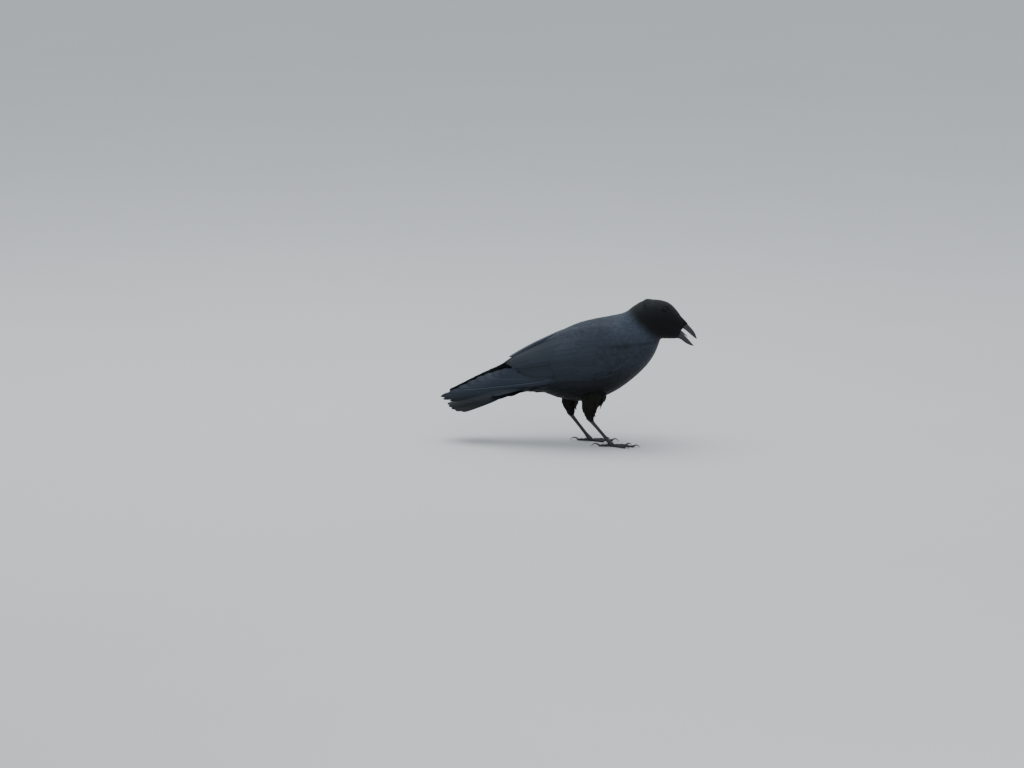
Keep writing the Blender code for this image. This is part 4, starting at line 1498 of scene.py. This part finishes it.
@dataclass
class Leg:
    """One leg: feathered thigh, scaled shank, four toes and their claws."""
    side: Side
    rows: tuple
    heel: tuple
    foot_x: float
    hip_y: float = 24.0
    foot_y: float = 22.0
    # share along the shank and radius
    shank: tuple = ((0, 3.9), (.06, 3.9), (.16, 2.9), (.5, 2.5), (.82, 2.6), (.94, 3.5), (1, 3.9))
    # depth of the scales and breadth of their seams, and how deep the toes sink in the flat foot
    scale: float = 0.085
    seam: float = 0.10
    flat: float = 0.35
    # turn outward, length, radius at root and at tip, claw
    toes: tuple = (("hallux", 176, 19, 2.3, 1.7, 13.5), ("inner", -24, 25, 2.1, 1.6, 10.0),
                   ("middle", 3, 36, 2.4, 1.7, 10.5), ("outer", 31, 27, 2.1, 1.5, 9.0))

    def __post_init__(self) -> None:
        """Build the thigh's surface: level ovals of the rows' two radii about their centres.

        The centres go from the hip's distance from the middle plane to the foot's.
        """
        table = spline(self.rows, np.linspace(0, len(self.rows) - 1, 60))
        angle = turns(48)[None]
        x = table[:, 0:1] + table[:, 2:3] * np.cos(angle)
        middle = self.hip_y + (self.foot_y - self.hip_y) * np.linspace(0, 1, 60)[:, None]
        y = self.side.value * middle + table[:, 3:4] * np.sin(angle)
        z = np.broadcast_to(table[:, 1:2], x.shape)
        self.thigh = Surface(np.stack([x, y, z], axis=2), wraps=True)

    def trousers(self) -> None:
        """Lay the thigh's narrow feathers downwards, looser and longer at the heel."""
        dice = np.random.default_rng(31 + self.side.value)
        u = np.repeat(np.linspace(8, 56, 26), 30)
        count = len(u)
        v = (np.arange(count) + 0.5 * ((np.arange(count) // 30) % 2)) / 30 + dice.normal(0, .012, count)
        share = step(u, 10, 56)
        length = (15 - 7.5 * share) * dice.uniform(.8, 1.2, count)
        width = (5.6 - 2.8 * share) * dice.uniform(.8, 1.15, count)
        front = np.clip(np.cos(v * ROUND), 0, 1) * (1 - step(u, 22, 50))
        ragged = dice.random(count)**3
        place = u + dice.normal(0, .6, count) + 7 * (dice.random(count) - .3) * (1 - step(u, 8, 26))
        turn = dice.normal(0, 0.12, count)
        tip = dice.uniform(-.3, .9, count) + 4.0 * front * ragged
        tip = tip + 1.6 * ragged - 1.6 * (1 - step(u, 8, 22))
        flock = Flock(place, v, length * (1 + .5 * front * ragged), width, turn, np.full(count, -1.2), tip)
        name = f"thigh_feathers_{self.side.word}"
        Piece.laid(name, flock.lay(self.thigh, Vane(), 33), TROUSER, "plumage")

    def scaled(self, name: str, path: Array, radii: Array, plates: float, sides: int) -> None:
        """Build a limb's scaled skin: each plate swells over its own length and steps down to the next.

        The radius is multiplied by 1 + scale (sin(0.8 pi s) - 0.4) f, s being the saw of the share
        along times the plates, and f the root of the sine of the height round the ring, cut off
        below zero. The skin is flat where it meets the ground.

        Args:
            name: the limb.
            path: the limb's line.
            radii: its radius along the line.
            plates: how many plates lie along it.
            sides: points in a ring.
        """
        share = np.linspace(0, 1, len(path))[:, None]
        face = np.clip(np.cos(turns(sides)[None, :] - math.pi / 2), 0, 1)**0.5
        saw = (share * plates) % 1
        swell = 1 + self.scale * (np.sin(saw * math.pi * 0.8) - 0.4) * face
        seam = np.exp(-(np.minimum(saw, 1 - saw) / self.seam)**2) * face
        word = self.side.word
        Piece.tube(f"{name}_skin_{word}", grounded(lofted(path, radii, sides, swell)), SCUTE, "leg_scale",
                   (f"{name}_{word}",), {"seam": seam.ravel()})

    def toe(self, name: str, turn: float, length: float, root: float, tip: float, claw: float) -> None:
        """Build a toe and its claw.

        Args:
            name: which toe.
            turn: degrees outward from straight ahead.
            length: the toe's length.
            root: its radius at the foot.
            tip: its radius at the claw.
            claw: the claw's length.
        """
        word, sign = self.side.word, self.side.value
        angle = math.radians(sign * turn)
        ahead = np.array([math.cos(angle), math.sin(angle), 0.0])
        share = np.linspace(0, 1, 73)
        radii = (root + (tip - root) * share) * (1 + .12 * np.cos(share * 6 * math.pi))
        base = np.array([self.foot_x, sign * self.foot_y, 0.0])
        path = base + ahead * (1.0 + (length - 1.0) * share[:, None])
        path[:, 2] += radii - self.flat
        self.scaled(f"toe_{name}", path, radii, length / 2.6, 20)
        start = path[-1] - ahead * 1.2
        share = np.linspace(0, 1, 33)
        girth = (radii[-1] - .28) * (1 - share)**.8 * .8 + .28
        rise = .26 * claw * np.sin(math.pi * share)**.9 - (start[2] - .14) * share**1.6
        path = start + ahead * claw * share[:, None]
        path[:, 2] += rise
        swell = 1 + 0.12 * np.cos(turns(16, 2))[None, :]
        Piece.tube(f"claw_{name}_horn_{word}", grounded(lofted(path, girth, 16, swell)), CLAW_HORN,
                   "claw_horn", (f"claw_{name}_{word}",), {"wear": np.repeat(share**3, 16)})

    def build(self) -> None:
        """Build the shank, toes and claws over their solids."""
        y = self.side.value * self.foot_y
        heel, ball = np.array([self.heel[0], y, self.heel[1]]), np.array([self.foot_x, y, 3.9])
        share = np.linspace(0, 1.045, 131)
        radii = np.interp(share, *np.array(self.shank).T)
        self.scaled("shank", heel + (ball - heel) * share[:, None], blur(radii, 4, 0, False), 11, 24)
        for toe in self.toes:
            self.toe(*toe)


# ---------------------------------------------------------------- head

@dataclass
class Head:
    """The bill, tongue, eyes with their lids, and the bristles over the nostrils.

    A bill row holds the upper line (x, z), the lower line (x, z) and the half width.
    """
    upper: tuple = (
        (173, 202, 165, 187, 8.3), (180, 194.3, 171.5, 183.8, 7.8), (184.9, 188.9, 177, 182.6, 6.6),
        (190.4, 183, 183, 178.4, 5.2), (194.9, 177, 188.5, 173.6, 3.7),
        (197.5, 171, 194.3, 169.2, 1.9), (198.5, 167.8, 197.7, 167.2, .7))
    lower: tuple = (
        (165, 181, 160, 169, 7.8), (171.5, 179.2, 168, 167.8, 7), (177, 175.6, 174.3, 165.6, 5.9),
        (183, 169.6, 180.5, 161, 4.4), (188.8, 163, 187.2, 157.6, 2.6),
        (193.4, 157.2, 192.8, 156.2, .8))
    tongue: tuple = (
        (168.5, 181.5, 167.5, 179.6, 3.4), (174, 179.6, 173, 177.6, 3.2),
        (179.5, 175.4, 178.6, 173.9, 2.5), (184, 170.8, 183.4, 170.1, .9))
    throat: tuple = (
        (156, 190, 153, 172, 6.6), (163, 190.5, 160.5, 174, 7.6), (168, 189.5, 166, 176.5, 7.5),
        (172, 187.2, 170.5, 178, 6.9), (174.6, 184.6, 173.4, 179.6, 5.0), (176.2, 182.8, 175.6, 181.6, 1.6))
    eye: tuple = (150.5, 12.5, 212.8)
    eye_radius: float = 5.8
    lid: float = 1.2        # thickness of the lid
    bristle_count: int = 1150

    def shell(self, rows: tuple, rings: int, sides: int, widest: float, hollow: float,
              edge: float) -> tuple:
        """Loft a half of the bill.

        A ring's point is its centre, plus the reach to the ridge or to the cutting edges' level
        times the cosine, plus the half width times the sine. The inner face is drawn in by hollow,
        towards the ridge, and the cutting edges stand out from it.

        Args:
            rows: the table.
            rings: rings along it.
            sides: points in a ring.
            widest: the share of the height at which the widest line lies.
            hollow: the depth of the hollow inside, as a share of the height.
            edge: 1 where the inner face is below, -1 where it is above.

        Returns:
            The grid and the wear mark of each point.
        """
        table = spline(rows, np.linspace(0, len(rows) - 1, rings))
        high, low, half = table[:, None, 0:2], table[:, None, 2:4], table[:, None, 4]
        angle = turns(sides)
        up, out = np.cos(angle)[None, :, None], np.sin(angle)[None, :]
        centre = low + widest * (high - low)
        inner = (edge * up < 0) * (1 - hollow * (1 - np.abs(out[..., None])**2 * 1.2))
        share = np.where(edge * up >= 0, 1.0, inner)
        plane = centre + np.where(up >= 0, high - centre, centre - low) * up * share
        grid = np.stack([plane[..., 0], half * out + 0 * plane[..., 0], plane[..., 1]], axis=2)
        along = np.linspace(0, 1, rings)[:, None]
        wear = along**4 * 0.9 + np.exp(-((np.abs(out) - 1) / .06)**2) * 0.35
        return grid, wear.ravel()

    def build(self) -> None:
        """Build the bill, the tongue and both eyes."""
        for name, rows, widest, edge in (("bill_upper", self.upper, .30, 1),
                                         ("bill_lower", self.lower, .70, -1)):
            grid, wear = self.shell(rows, 90, 40, widest, .55, edge)
            Piece.tube(name + "_horn", grid, BILL_HORN, "bill_horn", (name,), {"wear": wear})
        grid, _ = self.shell(self.throat, 24, 24, .5, 0.0, -1)
        Piece.tube("mouth_lining", grid, MOUTH, "mouth")
        grid, _ = self.shell(self.tongue, 30, 20, .5, 0.2, -1)
        Piece.tube("tongue_flesh", grid, MOUTH, "mouth", ("tongue",))
        for side in Side:
            self.build_eye(side)

    def build_eye(self, side: Side) -> None:
        """Build an eyeball with a raised cornea, and the rim of bare skin round it.

        The ball's axis leaves the head sideways, a little forward; its radius grows by a bell over
        the cornea. The lid is a ring about the axis: over its breadth it swells by half a sine and
        falls to the feathers.

        Args:
            side: which eye.
        """
        centre = np.array(self.eye) * (1, side.value, 1)
        axis = unit(np.array([0.16, side.value, 0.34]))
        level = unit(np.cross([0.0, 0.0, 1.0], axis))
        steep = np.cross(axis, level)
        tilt = np.linspace(0.02, math.pi - 0.02, 40)[:, None]
        turn = turns(48)[None, :]
        spoke = level * np.cos(turn)[..., None] + steep * np.sin(turn)[..., None]
        radius = self.eye_radius * (0.985 + 0.05 * np.exp(-(tilt / 0.42)**2))

        def about(radius: Array, tilt: Array) -> Array:
            """Points at a radius and a tilt from the axis, all the way round."""
            radius, tilt = radius[..., None], tilt[..., None]
            return centre + radius * (axis * np.cos(tilt) + spoke * np.sin(tilt))

        ring = np.repeat(np.sin(np.minimum(tilt, math.pi / 2))[:, 0], 48)
        Piece.tube("eyeball_" + side.word, about(radius, tilt), EYEBALL, "eye", ("eye_" + side.word,),
                   {"ring": ring})
        rise = np.linspace(0, 1, 12)[:, None]
        reach = 3.6 + 3.0 * rise + 0.15 * np.sin(turn)
        height = 4.75 + 0.38 * np.sin(rise * math.pi)**0.7 - 0.9 * rise + 0 * turn
        outer, inner = (about(np.hypot(reach, level), np.arctan2(reach, level))
                        for level in (height, height - self.lid))
        grid = np.concatenate([outer, inner[::-1]])
        rings, sides = grid.shape[:2]
        last = (rings - 1) * sides
        faces = tube_faces(rings, sides, closed=False)
        faces += [[last + j, last + (j + 1) % sides, (j + 1) % sides, j] for j in range(sides)]
        Piece("lid_" + side.word, grid, faces, HIDE, "plumage").put()

    def bristles(self) -> None:
        """Lay the bristles that point forward from the forehead and lores over the nostrils.

        They are laid on the upper bill's own face, whose rows run from its tip back to the brow, so
        that turned half round they lie towards the tip.
        """
        table = spline(self.upper, np.linspace(0, 3.2, 60))
        high, low, half = table[:, None, 0:2], table[:, None, 2:4], table[:, None, 4]
        angle = np.linspace(-1.9, 1.9, 61)[None]
        centre = low + 0.3 * (high - low)
        up = np.cos(angle)[..., None]
        plane = centre + np.where(up >= 0, high - centre, centre - low) * up
        grid = np.stack([plane[..., 0], half * np.sin(angle), plane[..., 1]], axis=2)
        bill = Surface(grid, wraps=False)
        dice = np.random.default_rng(41)
        count = self.bristle_count
        v = dice.beta(1.5, 1.5, count)
        top = 1 - np.abs(v - 0.5) * 2
        u = dice.uniform(-16, 3, count) + 11 * top * dice.random(count)
        length = dice.uniform(5.5, 8.5, count) + 3.0 * top
        flock = Flock(u, v, length, dice.uniform(.45, .8, count), dice.normal(0, .13, count),
                      np.full(count, 0.1), dice.uniform(0.15, 0.8, count))
        vane = Vane(rings=((0, .6), (.4, 1), (.8, .6), (1, .12)), over=(-1, 0, 1), thickness=0.16)
        Piece.laid("nasal_bristles", flock.lay(bill, vane, 42), BRISTLE, "plumage")


# ---------------------------------------------------------------- studio

@dataclass
class Studio:
    """Floor, soft lights and camera."""
    azimuth: float = 8.0
    elevation: float = 10.0
    distance: float = 10.0
    target: tuple = (-0.088, 0.0, 0.090)
    lens: float = 228.0
    extent: float = 14.0
    sky: tuple = (0.86, 0.93, 1.0, 1.0)
    sky_strength: float = 0.85
    # name, place, side, power and tint
    lamps: tuple = (("overhead", (-0.5, 0.3, 2.6), 2.6, 55, (0.92, 0.96, 1.0)),
                    ("front", (0.8, -2.6, 1.3), 1.8, 14, (1.0, 0.99, 0.97)))

    def lamp(self, name: str, spot: tuple, size: float, power: float, tint: tuple) -> None:
        """Hang one square soft light that faces the bird.

        Args:
            name: its name.
            spot: where it hangs.
            size: the length of its side.
            power: in watts.
            tint: its colour.
        """
        data = bpy.data.lights.new(name, "AREA")
        data.shape, data.size, data.energy, data.color = "SQUARE", size, power, tint
        lamp = bpy.data.objects.new(name, data)
        bpy.context.scene.collection.objects.link(lamp)
        lamp.location = spot
        aim = -np.array(spot)
        lamp.rotation_euler = (math.atan2(math.hypot(aim[0], aim[1]), -aim[2]), 0,
                               math.atan2(aim[1], aim[0]) - math.pi / 2)

    def build(self) -> None:
        """Set up the floor, world, lights and camera."""
        corners = np.array([(-1, -1, 0), (1, -1, 0), (1, 1, 0), (-1, 1, 0)]) * self.extent
        mesh = bpy.data.meshes.new("floor")
        mesh.from_pydata(corners.tolist(), [], [[0, 1, 2, 3]])
        mesh.materials.append(GROUND.material())
        floor = bpy.data.objects.new("floor", mesh)
        bpy.context.scene.collection.objects.link(floor)
        world = bpy.data.worlds.new("studio")
        world.use_nodes = True
        sky = world.node_tree.nodes["Background"]
        sky.inputs[0].default_value = self.sky
        sky.inputs[1].default_value = self.sky_strength
        bpy.context.scene.world = world
        for lamp in self.lamps:
            self.lamp(*lamp)
        a, e = math.radians(self.azimuth), math.radians(self.elevation)
        offset = np.array([math.sin(a) * math.cos(e), -math.cos(a) * math.cos(e), math.sin(e)])
        data = bpy.data.cameras.new("view")
        data.lens, data.sensor_width, data.clip_end = self.lens, 36.0, 60.0
        camera = bpy.data.objects.new("view", data)
        bpy.context.scene.collection.objects.link(camera)
        camera.location = np.array(self.target) + offset * self.distance
        camera.rotation_euler = (math.pi / 2 - e, 0, a)
        bpy.context.scene.camera = camera


def main() -> None:
    """Build the studio and the bird."""
    logging.basicConfig(level=logging.INFO, format="%(name)s: %(message)s")
    Studio().build()
    right, left = Wing(Side.RIGHT, slack=(0.06, 1.03)), Wing(Side.LEFT, reach=0.9)
    legs = [Leg(Side.RIGHT, ((40, 96, 17, 10), (41, 80, 20, 13.5), (38.5, 67, 14.5, 11),
                             (35.5, 58, 10.2, 8.5), (35, 50, 6.8, 6.2), (36.3, 43.5, 4.6, 4.3)),
                (33.0, 45.0), 69.0),
            Leg(Side.LEFT, ((8, 96, 17, 10), (3, 80, 19, 13.5), (0, 67, 13.5, 11),
                            (-1.8, 58, 10.2, 8.5), (-1, 50.5, 6.8, 6.2), (0.6, 44, 4.6, 4.3)),
                (-3.0, 45.8), 30.0)]
    torso = Torso()
    surface = torso.envelope(right)
    torso.skin(surface, legs)
    torso.clothe(surface)
    for leg in legs:
        leg.trousers()
        leg.build()
    for wing in (right, left):
        wing.build()
    Tail().build()
    head = Head()
    head.build()
    head.bristles()


if __name__ == "__main__":
    main()
